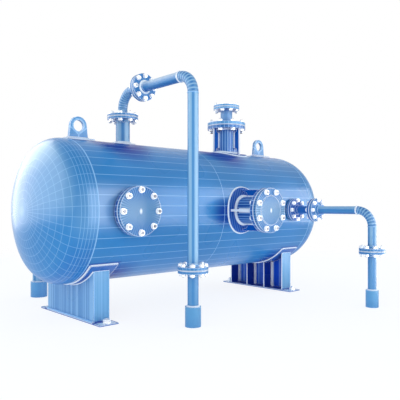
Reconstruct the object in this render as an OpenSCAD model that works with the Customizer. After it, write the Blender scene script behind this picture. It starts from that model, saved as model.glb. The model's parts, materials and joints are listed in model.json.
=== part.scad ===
// Vapour condenser: a horizontal pressure vessel on two saddles, with two bolted
// manways, a gusseted top nozzle and three flanged pipe lines that run down to grade.
// Millimetres. Origin on the ground under mid-length, +X along the vessel, -Y its
// front, +Z up.

/* [Vessel] */
// Outside diameter of the shell
shell_od = 1600; // [1400:10:2000]
// Length between the tangent lines of the two heads
shell_len = 3600; // [3200:20:4600]
// Plate thickness of shell and heads
shell_wall = 12; // [8:1:20]
// Straight flange of each head, inside the tangent line
head_skirt = 40; // [25:5:60]
// Height of the vessel axis over the ground
axis_h = 1180; // [1080:10:1500]

/* [Saddles] */
// Distance from each tangent line to the middle of its saddle
saddle_inset = 240; // [170:5:600]
// Length of a base plate, across the vessel
base_len = 1344; // [1150:4:1600]
// Width of a base plate, along the vessel
base_w = 228; // [220:2:320]
// Thickness of a base plate
base_t = 16; // [12:1:25]
// Distance between the two anchor bolts of a saddle
anchor_spacing = 1248; // [1090:4:1500]
// Diameter of an anchor bolt hole
anchor_hole_d = 42; // [30:1:52]
// Distance between the middles of the two end ribs
rib_span = 1020; // [800:10:1040]
// Depth of web and ribs together, along the vessel
rib_depth = 196; // [160:2:215]
// Number of ribs on a saddle
rib_count = 4; // [3:1:6]
// Thickness of a rib
rib_t = 16; // [10:1:24]
// Thickness of a web
web_t = 14; // [10:1:24]
// Width of a wear plate, along the vessel
wear_w = 332; // [280:2:420]
// Angle that a wear plate reaches up on each side
wear_angle = 45.6; // [42:0.2:60]
// Thickness of a wear plate
wear_t = 14; // [8:1:20]

/* [Lifting lugs] */
// Distance from the left tangent line to the middle of its lug
lug_left_inset = 250; // [210:5:500]
// Distance from the right tangent line to the middle of its lug
lug_right_inset = 275; // [210:5:500]
// Width of a lug where it stands on its pad
lug_base_w = 248; // [200:2:300]
// Height of the eye over the shell
lug_eye_h = 160; // [130:2:220]
// Diameter of the eye
lug_eye_d = 126; // [80:2:140]
// Radius of the rounded top round the eye
lug_top_r = 104; // [85:1:120]
// Thickness of a lug
lug_t = 38; // [25:1:50]
// Length of the pad under a lug, along the vessel
lug_pad_l = 330; // [270:2:400]
// Width of the pad under a lug, round the shell
lug_pad_w = 180; // [120:2:260]
// Thickness of the pad under a lug
lug_pad_t = 18; // [8:1:20]

/* [Manways] */
// Distance from the left tangent line to the left manway's axis
manway_left_inset = 460; // [340:5:900]
// Outside diameter of the left manway's flange and cover
manway_left_od = 520; // [440:4:560]
// Distance from the shell out to the left manway's joint
manway_left_rise = 76; // [56:2:200]
// Distance from mid-length to the right manway's axis
manway_right_x = 346; // [330:2:500]
// Distance from the shell out to the right manway's joint
manway_right_rise = 386; // [300:2:500]
// Thickness of a manway flange and of its cover
manway_flange_t = 46; // [36:1:56]
// Height of the raised disc on the right manway's cover
cover_disc_t = 7; // [4:1:12]
// Raised disc's share of that cover's diameter
cover_disc_share = 0.67; // [0.5:0.01:0.68]

/* [Gusseted necks] */
// Outside diameter of a gusseted neck, and of the left manway's
neck_od = 336; // [280:2:360]
// Wall of these necks
neck_wall = 16; // [10:1:24]
// Outside diameter of the flange on a gusseted neck
neck_flange_od = 544; // [500:4:600]
// Diameter of the round pad under a gusseted neck
neck_pad_od = 580; // [540:4:640]
// Thickness of the round pads
pad_t = 12; // [8:1:20]
// Number of gussets round a neck
gusset_count = 4; // [3:1:6]
// Thickness of a gusset
gusset_t = 30; // [14:1:34]
// Radius of a gusset's relief at the shell
gusset_foot_relief = 66; // [50:1:70]
// Radius of a gusset's relief at the flange
gusset_head_relief = 58; // [40:1:70]
// Distance from a neck's axis out to the outer edge of its gussets
gusset_reach = 256; // [248:1:262]

/* [Top nozzle] */
// Distance from the right tangent line to the top nozzle's axis
top_nozzle_inset = 964; // [850:2:1150]
// Distance from the shell up to the top nozzle's large joint
top_nozzle_rise = 396; // [340:2:550]
// Distance from the large joint up to the small joint
reducer_rise = 269; // [220:2:320]
// Outside diameter of the reducer at its lower end
reducer_od = 108; // [90:2:130]
// Share of the reducer's height that opens as a bowl
bowl_share = 0.55; // [0.3:0.05:0.9]

/* [Six-inch pipe] */
// Outside diameter of the inlet neck, the top connection and the drain
six_od = 168; // [140:2:190]
// Wall of the six-inch pipe
six_wall = 7; // [5:0.5:11]
// Outside diameter of a six-inch flange
six_flange_od = 370; // [350:2:400]
// Thickness of a six-inch flange
six_flange_t = 30; // [26:1:40]

/* [Inlet and riser] */
// Distance from the left tangent line to the inlet's axis
inlet_inset = 854; // [700:2:1100]
// Distance from the shell up to the inlet's joint
inlet_rise = 320; // [240:2:420]
// Diameter of the round pad under the inlet
inlet_pad_od = 280; // [240:4:340]
// Outside diameter of the riser pipe
riser_od = 114; // [96:1:126]
// Wall of the riser pipe
riser_wall = 6; // [4:0.5:9]
// Outside diameter of a riser flange
riser_flange_od = 314; // [310:2:360]
// Thickness of the riser and outlet flanges
line_flange_t = 34; // [26:1:40]
// Bend radius of the elbows on the riser and the outlet
bend_r = 200; // [150:2:220]
// Distance from the inlet's joint up to the riser's top run
riser_rise = 296; // [240:2:340]
// Distance from the inlet's axis out to the joint on the top run
riser_mid_joint = 413; // [400:1:560]
// Distance from the front of the shell out to the riser's drop
riser_stand_off = 480; // [400:10:700]
// Height of the joint on the riser's drop
riser_low_joint = 583; // [480:1:760]

/* [Outlet line] */
// Distance from the right tangent line to the outlet's axis
outlet_inset = 464; // [350:2:600]
// Outside diameter of the outlet pipe
outlet_od = 102; // [88:1:110]
// Wall of the outlet pipe
outlet_wall = 6; // [4:0.5:9]
// Outside diameter of an outlet flange
outlet_flange_od = 312; // [300:2:340]
// Distance from the shell out to the outlet's first joint
outlet_rise = 49; // [44:1:100]
// Length of the outlet's spool, from joint to joint
outlet_spool_len = 336; // [260:2:450]
// Distance from the spool's far joint out to the outlet's drop
outlet_throw = 820; // [560:10:1000]
// Height of the joint on the outlet's drop
outlet_low_joint = 684; // [520:1:760]

/* [Drain line] */
// Distance from the left tangent line to the drain's axis
drain_inset = 453; // [350:1:700]
// Distance from the shell out to the drain's joint
drain_rise = 160; // [130:5:200]
// Distance from the drain's joint out to its drop
drain_throw = 474; // [420:2:600]
// Bend radius of the drain's elbow
drain_bend_r = 240; // [215:1:260]
// Height of the joint on the drain's drop
drain_low_joint = 620; // [500:1:760]

/* [Pipe feet] */
// Height of a foot sleeve
foot_h = 208; // [150:2:280]
// Depth to which a pipe sits in its foot sleeve
foot_seat = 120; // [80:2:130]
// Thickness of the stop between the sleeve's two sockets
foot_stop = 8; // [4:1:16]
// Wall of a foot sleeve round its pipe
foot_wall = 26; // [14:1:34]

/* [Bolting] */
// Number of bolts in each joint
bolt_count = 8; // [8:4:12]
// Diameter of the bolt holes in the manway and gusseted flanges
large_hole_d = 39; // [30:1:44]
// Distance from the rim to the bolt circle on these flanges
large_bolt_edge = 39; // [34:1:44]
// Diameter of the bolt holes in the pipe flanges
small_hole_d = 33; // [22:1:38]
// Distance from the rim to the bolt circle on the pipe flanges
small_bolt_edge = 28; // [24:1:34]
// Thickness of a gasket
gasket_t = 3; // [2:0.5:5]
// Width of a flange hub's swelling round its pipe
hub_w = 14; // [8:1:18]
// Length of a flange hub
hub_len = 28; // [16:1:40]

/* [Hidden] */
$fn = 96;
// Gap left for the weld between curved faces that seat on each other
weld_gap = 0.4;
// Overshoot of a cutting shape
cut = 2;
shell_r = shell_od / 2;
shell_in_r = shell_r - shell_wall;
half_len = shell_len / 2;
neck_r = neck_od / 2;
six_r = six_od / 2;
riser_r = riser_od / 2;
outlet_r = outlet_od / 2;
pad_in_r = shell_r + weld_gap;
pad_out_r = pad_in_r + pad_t;
wear_out_r = shell_r + weld_gap + wear_t;
saddle_x = half_len - saddle_inset;
// Place of each nozzle along the vessel, and of its joints from the vessel axis
manway_left_x = manway_left_inset - half_len;
manway_left_joint = shell_r + manway_left_rise;
manway_right_joint = shell_r + manway_right_rise;
top_nozzle_x = half_len - top_nozzle_inset;
top_nozzle_joint = shell_r + top_nozzle_rise;
top_joint_h = top_nozzle_joint + reducer_rise;
inlet_x = inlet_inset - half_len;
inlet_joint = shell_r + inlet_rise;
riser_top = inlet_joint + riser_rise;
riser_reach = shell_r + riser_stand_off;
outlet_x = half_len - outlet_inset;
outlet_joint = shell_r + outlet_rise;
outlet_mid_joint = outlet_joint + outlet_spool_len;
outlet_reach = outlet_mid_joint + outlet_throw;
drain_x = drain_inset - half_len;
drain_joint = shell_r + drain_rise;
drain_reach = drain_joint + drain_throw;
// Turn that puts a joint's bolts on both sides of its centre lines
straddle = 180 / bolt_count;
// Each opening in the shell: place along the vessel, tilt, radius of the neck
SHELL_HOLES = [
    [manway_left_x, 90, neck_r], [manway_right_x, 90, neck_r], [top_nozzle_x, 0, neck_r],
    [inlet_x, 0, six_r], [outlet_x, 90, outlet_r], [drain_x, -90, six_r]
];
shell_blue = "#4a86c5";
pipe_blue = "#6ea5db";
cover_blue = "#86b3e4";
deep_blue = "#2f5fae";

// ---- helpers ----

// A point of the vessel axis, with local +Z out of the vessel: tilt 90 is the
// front, 0 the top and -90 the back
module on_axis(x, tilt) {
    translate([x, 0, axis_h]) rotate([tilt, 0, 0]) children();
}

module along_x(r, x0, x1) {
    translate([x0, 0, 0]) rotate([0, 90, 0]) cylinder(r = r, h = x1 - x0, $fn = 180);
}

module tube(r, wall, h) {
    difference() {
        cylinder(r = r, h = h);
        translate([0, 0, -cut]) cylinder(r = r - wall, h = h + 2 * cut);
    }
}

// Ring of bolt holes; turn 0 puts a bolt on the local X axis
module bolt_holes(od, edge, hole_d, h, turn) {
    for (i = [0 : bolt_count - 1])
        rotate([0, 0, turn + i * 360 / bolt_count])
            translate([od / 2 - edge, 0, -cut]) cylinder(d = hole_d, h = h + 2 * cut);
}

// Flange plate from local z = 0 up, with a bore and bolt holes
module flange(od, bore_r, t, edge, hole_d, turn) {
    difference() {
        cylinder(d = od, h = t);
        translate([0, 0, -cut]) cylinder(r = bore_r, h = t + 2 * cut);
        bolt_holes(od, edge, hole_d, t, turn);
    }
}

// Pipe flange with a tapered hub on its back; its face is at local z = 0 and it
// lies below, toward -Z
module pipe_flange(od, r, wall, t, turn) {
    translate([0, 0, -t]) flange(od, r - wall, t, small_bolt_edge, small_hole_d, turn);
    difference() {
        translate([0, 0, -t - hub_len]) cylinder(r1 = r, r2 = r + hub_w, h = hub_len);
        translate([0, 0, -t - hub_len - cut]) cylinder(r = r - wall, h = hub_len + 2 * cut);
    }
}

// Straight pipe between two heights on local Z
module pipe(r, wall, z0, z1) {
    translate([0, 0, z0]) tube(r, wall, z1 - z0);
}

// Quarter bend in the local XZ plane, from the origin, which it leaves upward,
// to (bend, 0, bend), which it leaves toward +X
module elbow(r, wall, bend) {
    translate([bend, 0, 0]) rotate([90, 0, 0]) rotate([0, 0, 90])
        rotate_extrude(angle = 90, $fn = 120)
            translate([bend, 0]) difference() {
                circle(r = r);
                circle(r = r - wall);
            }
}

// Neck in the nozzle frame: coped to the inside of the shell, with its flange
// face half a gasket under the joint
module coped_neck(r, wall, joint) {
    difference() {
        pipe(r, wall, shell_in_r - r, joint - gasket_t / 2);
        along_x(shell_in_r, -2 * r, 2 * r);
    }
}

// Round pad rolled to the shell round a neck
module round_pad(od, hole_r) {
    intersection() {
        difference() {
            along_x(pad_out_r, -od, od);
            along_x(pad_in_r, -od - cut, od + cut);
        }
        difference() {
            cylinder(d = od, h = pad_out_r + cut);
            translate([0, 0, -cut]) cylinder(r = hole_r + weld_gap, h = pad_out_r + 3 * cut);
        }
    }
}

// Outline of a gusset in the plane of the neck's axis: x is the distance from
// the neck's axis, y the distance from the vessel axis
module gusset_outline(joint) {
    foot_y = pad_out_r;
    head_y = joint - gasket_t / 2 - manway_flange_t;
    low_y = sqrt(pow(pad_out_r, 2) - pow(neck_pad_od / 2 + gusset_t, 2)) - pad_t;
    in_x = neck_r + weld_gap;
    difference() {
        polygon([
            [in_x, low_y], [gusset_reach, low_y], [gusset_reach, head_y], [in_x, head_y]
        ]);
        translate([neck_r, foot_y]) circle(r = gusset_foot_relief);
        translate([neck_r - cut, low_y - cut]) square([gusset_foot_relief + cut, foot_y - low_y + cut]);
        translate([neck_r, head_y]) circle(r = gusset_head_relief);
    }
}

module gussets(joint) {
    difference() {
        for (i = [0 : gusset_count - 1])
            rotate([90, 0, i * 360 / gusset_count])
                translate([0, 0, -gusset_t / 2]) linear_extrude(gusset_t) gusset_outline(joint);
        along_x(pad_out_r + weld_gap, -neck_pad_od, neck_pad_od);
    }
}

// Bolted cover
module cover(od, t, edge, hole_d, turn) {
    difference() {
        cylinder(d = od, h = t);
        bolt_holes(od, edge, hole_d, t, turn);
    }
}

// ---- vessel ----

module shell_course(x0, x1) {
    difference() {
        translate([0, 0, axis_h]) difference() {
            along_x(shell_r, x0, x1);
            along_x(shell_in_r, x0 - cut, x1 + cut);
        }
        for (hole = SHELL_HOLES)
            if (hole[0] > x0 && hole[0] < x1)
                on_axis(hole[0], hole[1]) cylinder(r = hole[2] + weld_gap, h = shell_r + cut);
    }
}

// Ellipsoidal head, two to one, as its usual crown and knuckle radii; local +Z
// is out of the vessel and z = 0 the tangent line
module head() {
    rotate_extrude($fn = 180) difference() {
        head_section(0, head_skirt);
        head_section(shell_wall, head_skirt + cut);
    }
}

// Half section of all that lies inside the head, depth in from its outside; the
// crown's sector and the knuckle's disc lap over each other
module head_section(depth, skirt) {
    crown = 0.9045 * shell_od;
    knuckle = 0.1727 * shell_od;
    knuckle_x = shell_r - knuckle;
    crown_y = -sqrt(pow(crown - knuckle, 2) - pow(knuckle_x, 2));
    far = 2;
    intersection() {
        translate([0, crown_y]) circle(r = crown - depth, $fn = 180);
        polygon([[0, 0], [knuckle_x, 0], [far * knuckle_x, (1 - far) * crown_y], [0, far * crown]]);
    }
    intersection() {
        translate([knuckle_x, 0]) circle(r = knuckle - depth);
        translate([knuckle_x - knuckle, 0]) square([2 * knuckle, knuckle]);
    }
    translate([0, -skirt]) square([shell_r - depth, skirt]);
}

module shell_course_left() {
    color(shell_blue) shell_course(head_skirt - half_len, 0);
}

module shell_course_right() {
    color(shell_blue) shell_course(0, half_len - head_skirt);
}

module head_left() {
    color(shell_blue) translate([-half_len, 0, axis_h]) rotate([0, -90, 0]) head();
}

module head_right() {
    color(shell_blue) translate([half_len, 0, axis_h]) rotate([0, 90, 0]) head();
}

// ---- lifting lugs ----

module lifting_lug(x) {
    pad_r = pad_in_r + lug_pad_t;
    eye_z = shell_r + lug_eye_h;
    color(pipe_blue) translate([x, 0, axis_h]) {
        difference() {
            rotate([90, 0, 0]) translate([0, 0, -lug_t / 2]) linear_extrude(lug_t) difference() {
                union() {
                    translate([0, eye_z]) circle(r = lug_top_r);
                    polygon(lug_sides(shell_r - lug_pad_t, eye_z));
                }
                translate([0, eye_z]) circle(d = lug_eye_d);
            }
            along_x(pad_in_r + lug_pad_t / 2, -lug_base_w, lug_base_w);
        }
        intersection() {
            difference() {
                along_x(pad_r, -lug_pad_l / 2, lug_pad_l / 2);
                along_x(pad_in_r, -lug_pad_l, lug_pad_l);
            }
            translate([-lug_pad_l, -lug_pad_w / 2, 0]) cube([2 * lug_pad_l, lug_pad_w, 2 * shell_r]);
        }
    }
}

// Sides of a lug: straight lines from its foot that touch the rounded top
function lug_sides(foot_y, eye_y) =
    let (
        foot_x = lug_base_w / 2,
        rise = eye_y - foot_y,
        reach = norm([foot_x, rise]),
        turn = atan2(foot_x, rise) + acos(lug_top_r / reach),
        touch = [lug_top_r * sin(turn), eye_y - lug_top_r * cos(turn)]
    )
    [[-foot_x, foot_y], [foot_x, foot_y], touch, [0, eye_y], [-touch[0], touch[1]]];

module lifting_lug_left() {
    lifting_lug(lug_left_inset - half_len);
}

module lifting_lug_right() {
    lifting_lug(half_len - lug_right_inset);
}

// ---- saddles: local +X is toward the near end of the vessel ----

module saddle_side(side) {
    translate([side * saddle_x, 0, 0]) rotate([0, 0, side > 0 ? 0 : 180]) children();
}

// What the top of a saddle gives way to: the wear plate, and all above its ends
module saddle_cope() {
    translate([0, 0, axis_h]) along_x(wear_out_r + weld_gap, -wear_w, wear_w);
    translate([-base_w, -base_len, axis_h - wear_out_r * cos(wear_angle)])
        cube([2 * base_w, 2 * base_len, axis_h]);
}

module base_plate(side) {
    color(pipe_blue) saddle_side(side) difference() {
        translate([-base_w / 2, -base_len / 2, 0]) cube([base_w, base_len, base_t]);
        for (y = [-anchor_spacing / 2, anchor_spacing / 2])
            translate([0, y, -cut]) cylinder(d = anchor_hole_d, h = base_t + 2 * cut);
    }
}

module web(side) {
    color(shell_blue) saddle_side(side) difference() {
        translate([rib_depth / 2 - web_t, -(rib_span + rib_t) / 2, base_t])
            cube([web_t, rib_span + rib_t, axis_h - base_t]);
        saddle_cope();
    }
}

module ribs(side) {
    pitch = rib_span / (rib_count - 1);
    color(shell_blue) saddle_side(side) difference() {
        for (i = [0 : rib_count - 1])
            translate([-rib_depth / 2, i * pitch - rib_span / 2 - rib_t / 2, base_t])
                cube([rib_depth - web_t, rib_t, axis_h - base_t]);
        saddle_cope();
    }
}

module wear_plate(side) {
    reach = 2 * wear_out_r;
    color(pipe_blue) saddle_side(side) translate([0, 0, axis_h]) intersection() {
        difference() {
            along_x(wear_out_r, -wear_w / 2, wear_w / 2);
            along_x(shell_r + weld_gap, -wear_w, wear_w);
        }
        rotate([90, 0, 90]) translate([0, 0, -wear_w]) linear_extrude(2 * wear_w) polygon([
            [0, 0], [-reach * tan(wear_angle), -reach], [reach * tan(wear_angle), -reach]
        ]);
    }
}

module saddle_left_base_plate() { base_plate(-1); }
module saddle_left_web() { web(-1); }
module saddle_left_ribs() { ribs(-1); }
module saddle_left_wear_plate() { wear_plate(-1); }
module saddle_right_base_plate() { base_plate(1); }
module saddle_right_web() { web(1); }
module saddle_right_ribs() { ribs(1); }
module saddle_right_wear_plate() { wear_plate(1); }

// ---- manways ----

module neck_flange(od, joint, turn) {
    translate([0, 0, joint - gasket_t / 2 - manway_flange_t])
        flange(od, neck_r - neck_wall, manway_flange_t, large_bolt_edge, large_hole_d, turn);
}

module manway_left_neck() {
    color(pipe_blue) on_axis(manway_left_x, 90) {
        coped_neck(neck_r, neck_wall, manway_left_joint);
        neck_flange(manway_left_od, manway_left_joint, 0);
    }
}

module manway_left_cover() {
    color(cover_blue) on_axis(manway_left_x, 90) translate([0, 0, manway_left_joint + gasket_t / 2])
        cover(manway_left_od, manway_flange_t, large_bolt_edge, large_hole_d, 0);
}

module gusseted_neck(joint) {
    coped_neck(neck_r, neck_wall, joint);
    neck_flange(neck_flange_od, joint, straddle);
}

module manway_right_pad() {
    color(deep_blue) on_axis(manway_right_x, 90) round_pad(neck_pad_od, neck_r);
}

module manway_right_neck() {
    color(pipe_blue) on_axis(manway_right_x, 90) gusseted_neck(manway_right_joint);
}

module manway_right_gussets() {
    color(deep_blue) on_axis(manway_right_x, 90) gussets(manway_right_joint);
}

module manway_right_cover() {
    disc_r = neck_flange_od / 2 * cover_disc_share;
    color(cover_blue) on_axis(manway_right_x, 90)
        translate([0, 0, manway_right_joint + gasket_t / 2]) {
            cover(neck_flange_od, manway_flange_t, large_bolt_edge, large_hole_d, straddle);
            translate([0, 0, manway_flange_t])
                cylinder(r1 = disc_r, r2 = disc_r - cover_disc_t, h = cover_disc_t);
        }
}

// ---- top nozzle ----

module top_nozzle_pad() {
    color(deep_blue) on_axis(top_nozzle_x, 0) round_pad(neck_pad_od, neck_r);
}

module top_nozzle_neck() {
    color(pipe_blue) on_axis(top_nozzle_x, 0) gusseted_neck(top_nozzle_joint);
}

module top_nozzle_gussets() {
    color(deep_blue) on_axis(top_nozzle_x, 0) gussets(top_nozzle_joint);
}

module top_nozzle_reducer() {
    low = top_nozzle_joint + gasket_t / 2;
    deck = low + manway_flange_t;
    high = top_joint_h - gasket_t / 2 - six_flange_t;
    small_r = reducer_od / 2;
    color(pipe_blue) on_axis(top_nozzle_x, 0) {
        translate([0, 0, low]) flange(
            neck_flange_od, small_r - six_wall, manway_flange_t, large_bolt_edge, large_hole_d, straddle
        );
        translate([0, 0, high])
            flange(six_flange_od, six_r - six_wall, six_flange_t, small_bolt_edge, small_hole_d, straddle);
        translate([0, 0, deck]) rotate_extrude() bowl_outline(small_r, six_r, high - deck);
    }
}

// Half section of the reducer: it opens as a bowl from the small radius to the
// large one, then runs up as a straight collar
module bowl_outline(r0, r1, h) {
    steps = 8;
    bowl_h = h * bowl_share;
    outer = [
        for (i = [0 : steps])
            let (a = 90 * i / steps) [r0 + (r1 - r0) * sin(a), bowl_h * (1 - cos(a))]
    ];
    polygon(concat(
        outer, [[r1, h], [r1 - six_wall, h]],
        [for (i = [steps : -1 : 0]) outer[i] - [six_wall, 0]]
    ));
}

module top_nozzle_blind() {
    color(cover_blue) on_axis(top_nozzle_x, 0) translate([0, 0, top_joint_h + gasket_t / 2])
        cover(six_flange_od, six_flange_t, small_bolt_edge, small_hole_d, straddle);
}

// ---- inlet and riser ----

// Frames on the riser: up the inlet, out along the top run, and down the drop
module riser_run() {
    translate([inlet_x, 0, axis_h + riser_top]) rotate([90, 0, 0]) children();
}

module riser_down() {
    translate([inlet_x, -riser_reach, 0]) children();
}

module inlet_pad() {
    color(deep_blue) on_axis(inlet_x, 0) round_pad(inlet_pad_od, six_r);
}

module inlet_neck() {
    color(pipe_blue) on_axis(inlet_x, 0) {
        coped_neck(six_r, six_wall, inlet_joint);
        translate([0, 0, inlet_joint - gasket_t / 2])
            pipe_flange(six_flange_od, six_r, six_wall, six_flange_t, 0);
    }
}

module inlet_elbow() {
    low = inlet_joint + gasket_t / 2;
    color(pipe_blue) {
        on_axis(inlet_x, 0) {
            translate([0, 0, low])
                flange(six_flange_od, riser_r - riser_wall, six_flange_t, small_bolt_edge, small_hole_d, 0);
            pipe(riser_r, riser_wall, low + six_flange_t, riser_top - bend_r);
            translate([0, 0, riser_top - bend_r]) rotate([0, 0, -90]) elbow(riser_r, riser_wall, bend_r);
        }
        riser_run() {
            pipe(riser_r, riser_wall, bend_r, riser_mid_joint - gasket_t / 2 - line_flange_t);
            translate([0, 0, riser_mid_joint - gasket_t / 2])
                pipe_flange(riser_flange_od, riser_r, riser_wall, line_flange_t, 0);
        }
    }
}

module riser_bridge() {
    color(pipe_blue) riser_run() {
        pipe(riser_r, riser_wall, riser_mid_joint + gasket_t / 2 + line_flange_t, riser_reach - bend_r);
        translate([0, 0, riser_mid_joint + gasket_t / 2]) mirror([0, 0, 1])
            pipe_flange(riser_flange_od, riser_r, riser_wall, line_flange_t, 0);
    }
}

module riser_elbow() {
    color(pipe_blue) riser_down() translate([0, 0, axis_h + riser_top - bend_r])
        rotate([0, 0, 90]) elbow(riser_r, riser_wall, bend_r);
}

module riser_drop() {
    color(pipe_blue) riser_down() {
        pipe(
            riser_r, riser_wall, riser_low_joint + gasket_t / 2 + line_flange_t, axis_h + riser_top - bend_r
        );
        translate([0, 0, riser_low_joint + gasket_t / 2]) mirror([0, 0, 1])
            pipe_flange(riser_flange_od, riser_r, riser_wall, line_flange_t, 0);
    }
}

// Leg of a line, from its foot sleeve up to the face of its flange
module leg(r, wall, flange_od, flange_t, joint) {
    pipe(r, wall, foot_h - foot_seat, joint - gasket_t / 2 - flange_t);
    translate([0, 0, joint - gasket_t / 2]) pipe_flange(flange_od, r, wall, flange_t, 0);
}

// Foot sleeve: the line's pipe sits in its upper socket, down to the stop, and
// the lower socket takes a pipe of the same size that rises from the ground
module foot(r, wall) {
    difference() {
        cylinder(r = r + foot_wall, h = foot_h);
        translate([0, 0, foot_h - foot_seat]) cylinder(r = r + weld_gap, h = foot_seat + cut);
        translate([0, 0, -cut]) cylinder(r = r - wall, h = foot_h);
        translate([0, 0, -cut])
            cylinder(r = r + weld_gap, h = foot_h - foot_seat - foot_stop + cut);
    }
}

module riser_leg() {
    color(pipe_blue) riser_down() leg(riser_r, riser_wall, riser_flange_od, line_flange_t, riser_low_joint);
}

module riser_foot() {
    color(deep_blue) riser_down() foot(riser_r, riser_wall);
}

// ---- outlet line ----

module outlet_down() {
    translate([outlet_x, -outlet_reach, 0]) children();
}

module outlet_neck() {
    color(pipe_blue) on_axis(outlet_x, 90) {
        coped_neck(outlet_r, outlet_wall, outlet_joint);
        translate([0, 0, outlet_joint - gasket_t / 2 - line_flange_t]) flange(
            outlet_flange_od, outlet_r - outlet_wall, line_flange_t, small_bolt_edge, small_hole_d, 0
        );
    }
}

module outlet_spool() {
    color(deep_blue) on_axis(outlet_x, 90) {
        pipe(
            outlet_r, outlet_wall, outlet_joint + gasket_t / 2 + line_flange_t,
            outlet_mid_joint - gasket_t / 2 - line_flange_t
        );
        translate([0, 0, outlet_joint + gasket_t / 2]) mirror([0, 0, 1])
            pipe_flange(outlet_flange_od, outlet_r, outlet_wall, line_flange_t, 0);
        translate([0, 0, outlet_mid_joint - gasket_t / 2])
            pipe_flange(outlet_flange_od, outlet_r, outlet_wall, line_flange_t, 0);
    }
}

module outlet_run() {
    color(pipe_blue) on_axis(outlet_x, 90) {
        pipe(
            outlet_r, outlet_wall, outlet_mid_joint + gasket_t / 2 + line_flange_t, outlet_reach - bend_r
        );
        translate([0, 0, outlet_mid_joint + gasket_t / 2]) mirror([0, 0, 1])
            pipe_flange(outlet_flange_od, outlet_r, outlet_wall, line_flange_t, 0);
    }
}

module outlet_elbow() {
    color(pipe_blue) outlet_down() translate([0, 0, axis_h - bend_r])
        rotate([0, 0, 90]) elbow(outlet_r, outlet_wall, bend_r);
}

module outlet_drop() {
    color(pipe_blue) outlet_down() {
        pipe(outlet_r, outlet_wall, outlet_low_joint + gasket_t / 2 + line_flange_t, axis_h - bend_r);
        translate([0, 0, outlet_low_joint + gasket_t / 2]) mirror([0, 0, 1])
            pipe_flange(outlet_flange_od, outlet_r, outlet_wall, line_flange_t, 0);
    }
}

module outlet_leg() {
    color(pipe_blue) outlet_down()
        leg(outlet_r, outlet_wall, outlet_flange_od, line_flange_t, outlet_low_joint);
}

module outlet_foot() {
    color(deep_blue) outlet_down() foot(outlet_r, outlet_wall);
}

// ---- drain line ----

module drain_down() {
    translate([drain_x, drain_reach, 0]) children();
}

module drain_neck() {
    color(pipe_blue) on_axis(drain_x, -90) {
        coped_neck(six_r, six_wall, drain_joint);
        translate([0, 0, drain_joint - gasket_t / 2])
            pipe_flange(six_flange_od, six_r, six_wall, six_flange_t, 0);
    }
}

module drain_bend() {
    color(pipe_blue) {
        on_axis(drain_x, -90) {
            pipe(six_r, six_wall, drain_joint + gasket_t / 2 + six_flange_t, drain_reach - drain_bend_r);
            translate([0, 0, drain_joint + gasket_t / 2]) mirror([0, 0, 1])
                pipe_flange(six_flange_od, six_r, six_wall, six_flange_t, 0);
        }
        drain_down() {
            translate([0, 0, axis_h - drain_bend_r])
                rotate([0, 0, -90]) elbow(six_r, six_wall, drain_bend_r);
            pipe(
                six_r, six_wall, drain_low_joint + gasket_t / 2 + six_flange_t, axis_h - drain_bend_r
            );
            translate([0, 0, drain_low_joint + gasket_t / 2]) mirror([0, 0, 1])
                pipe_flange(six_flange_od, six_r, six_wall, six_flange_t, 0);
        }
    }
}

module drain_leg() {
    color(pipe_blue) drain_down() leg(six_r, six_wall, six_flange_od, six_flange_t, drain_low_joint);
}

module drain_foot() {
    color(deep_blue) drain_down() foot(six_r, six_wall);
}

// ---- gaskets: one ring in each joint, inside its bolts ----

module gasket(od, edge, hole_d, bore_r) {
    translate([0, 0, -gasket_t / 2]) difference() {
        cylinder(r = od / 2 - edge - hole_d / 2 - gasket_t, h = gasket_t);
        translate([0, 0, -cut]) cylinder(r = bore_r, h = gasket_t + 2 * cut);
    }
}

module small_gasket(od, r, wall) {
    gasket(od, small_bolt_edge, small_hole_d, r - wall);
}

module gaskets() {
    large_bore = neck_r - neck_wall;
    color("#d7e4f2") {
        on_axis(manway_left_x, 90) translate([0, 0, manway_left_joint])
            gasket(manway_left_od, large_bolt_edge, large_hole_d, large_bore);
        on_axis(manway_right_x, 90) translate([0, 0, manway_right_joint])
            gasket(neck_flange_od, large_bolt_edge, large_hole_d, large_bore);
        on_axis(top_nozzle_x, 0) translate([0, 0, top_nozzle_joint])
            gasket(neck_flange_od, large_bolt_edge, large_hole_d, large_bore);
        on_axis(top_nozzle_x, 0) translate([0, 0, top_joint_h])
            small_gasket(six_flange_od, six_r, six_wall);
        on_axis(inlet_x, 0) translate([0, 0, inlet_joint])
            small_gasket(six_flange_od, six_r, six_wall);
        riser_run() translate([0, 0, riser_mid_joint])
            small_gasket(riser_flange_od, riser_r, riser_wall);
        riser_down() translate([0, 0, riser_low_joint])
            small_gasket(riser_flange_od, riser_r, riser_wall);
        for (joint = [outlet_joint, outlet_mid_joint])
            on_axis(outlet_x, 90) translate([0, 0, joint])
                small_gasket(outlet_flange_od, outlet_r, outlet_wall);
        outlet_down() translate([0, 0, outlet_low_joint])
            small_gasket(outlet_flange_od, outlet_r, outlet_wall);
        on_axis(drain_x, -90) translate([0, 0, drain_joint])
            small_gasket(six_flange_od, six_r, six_wall);
        drain_down() translate([0, 0, drain_low_joint])
            small_gasket(six_flange_od, six_r, six_wall);
    }
}

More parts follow.
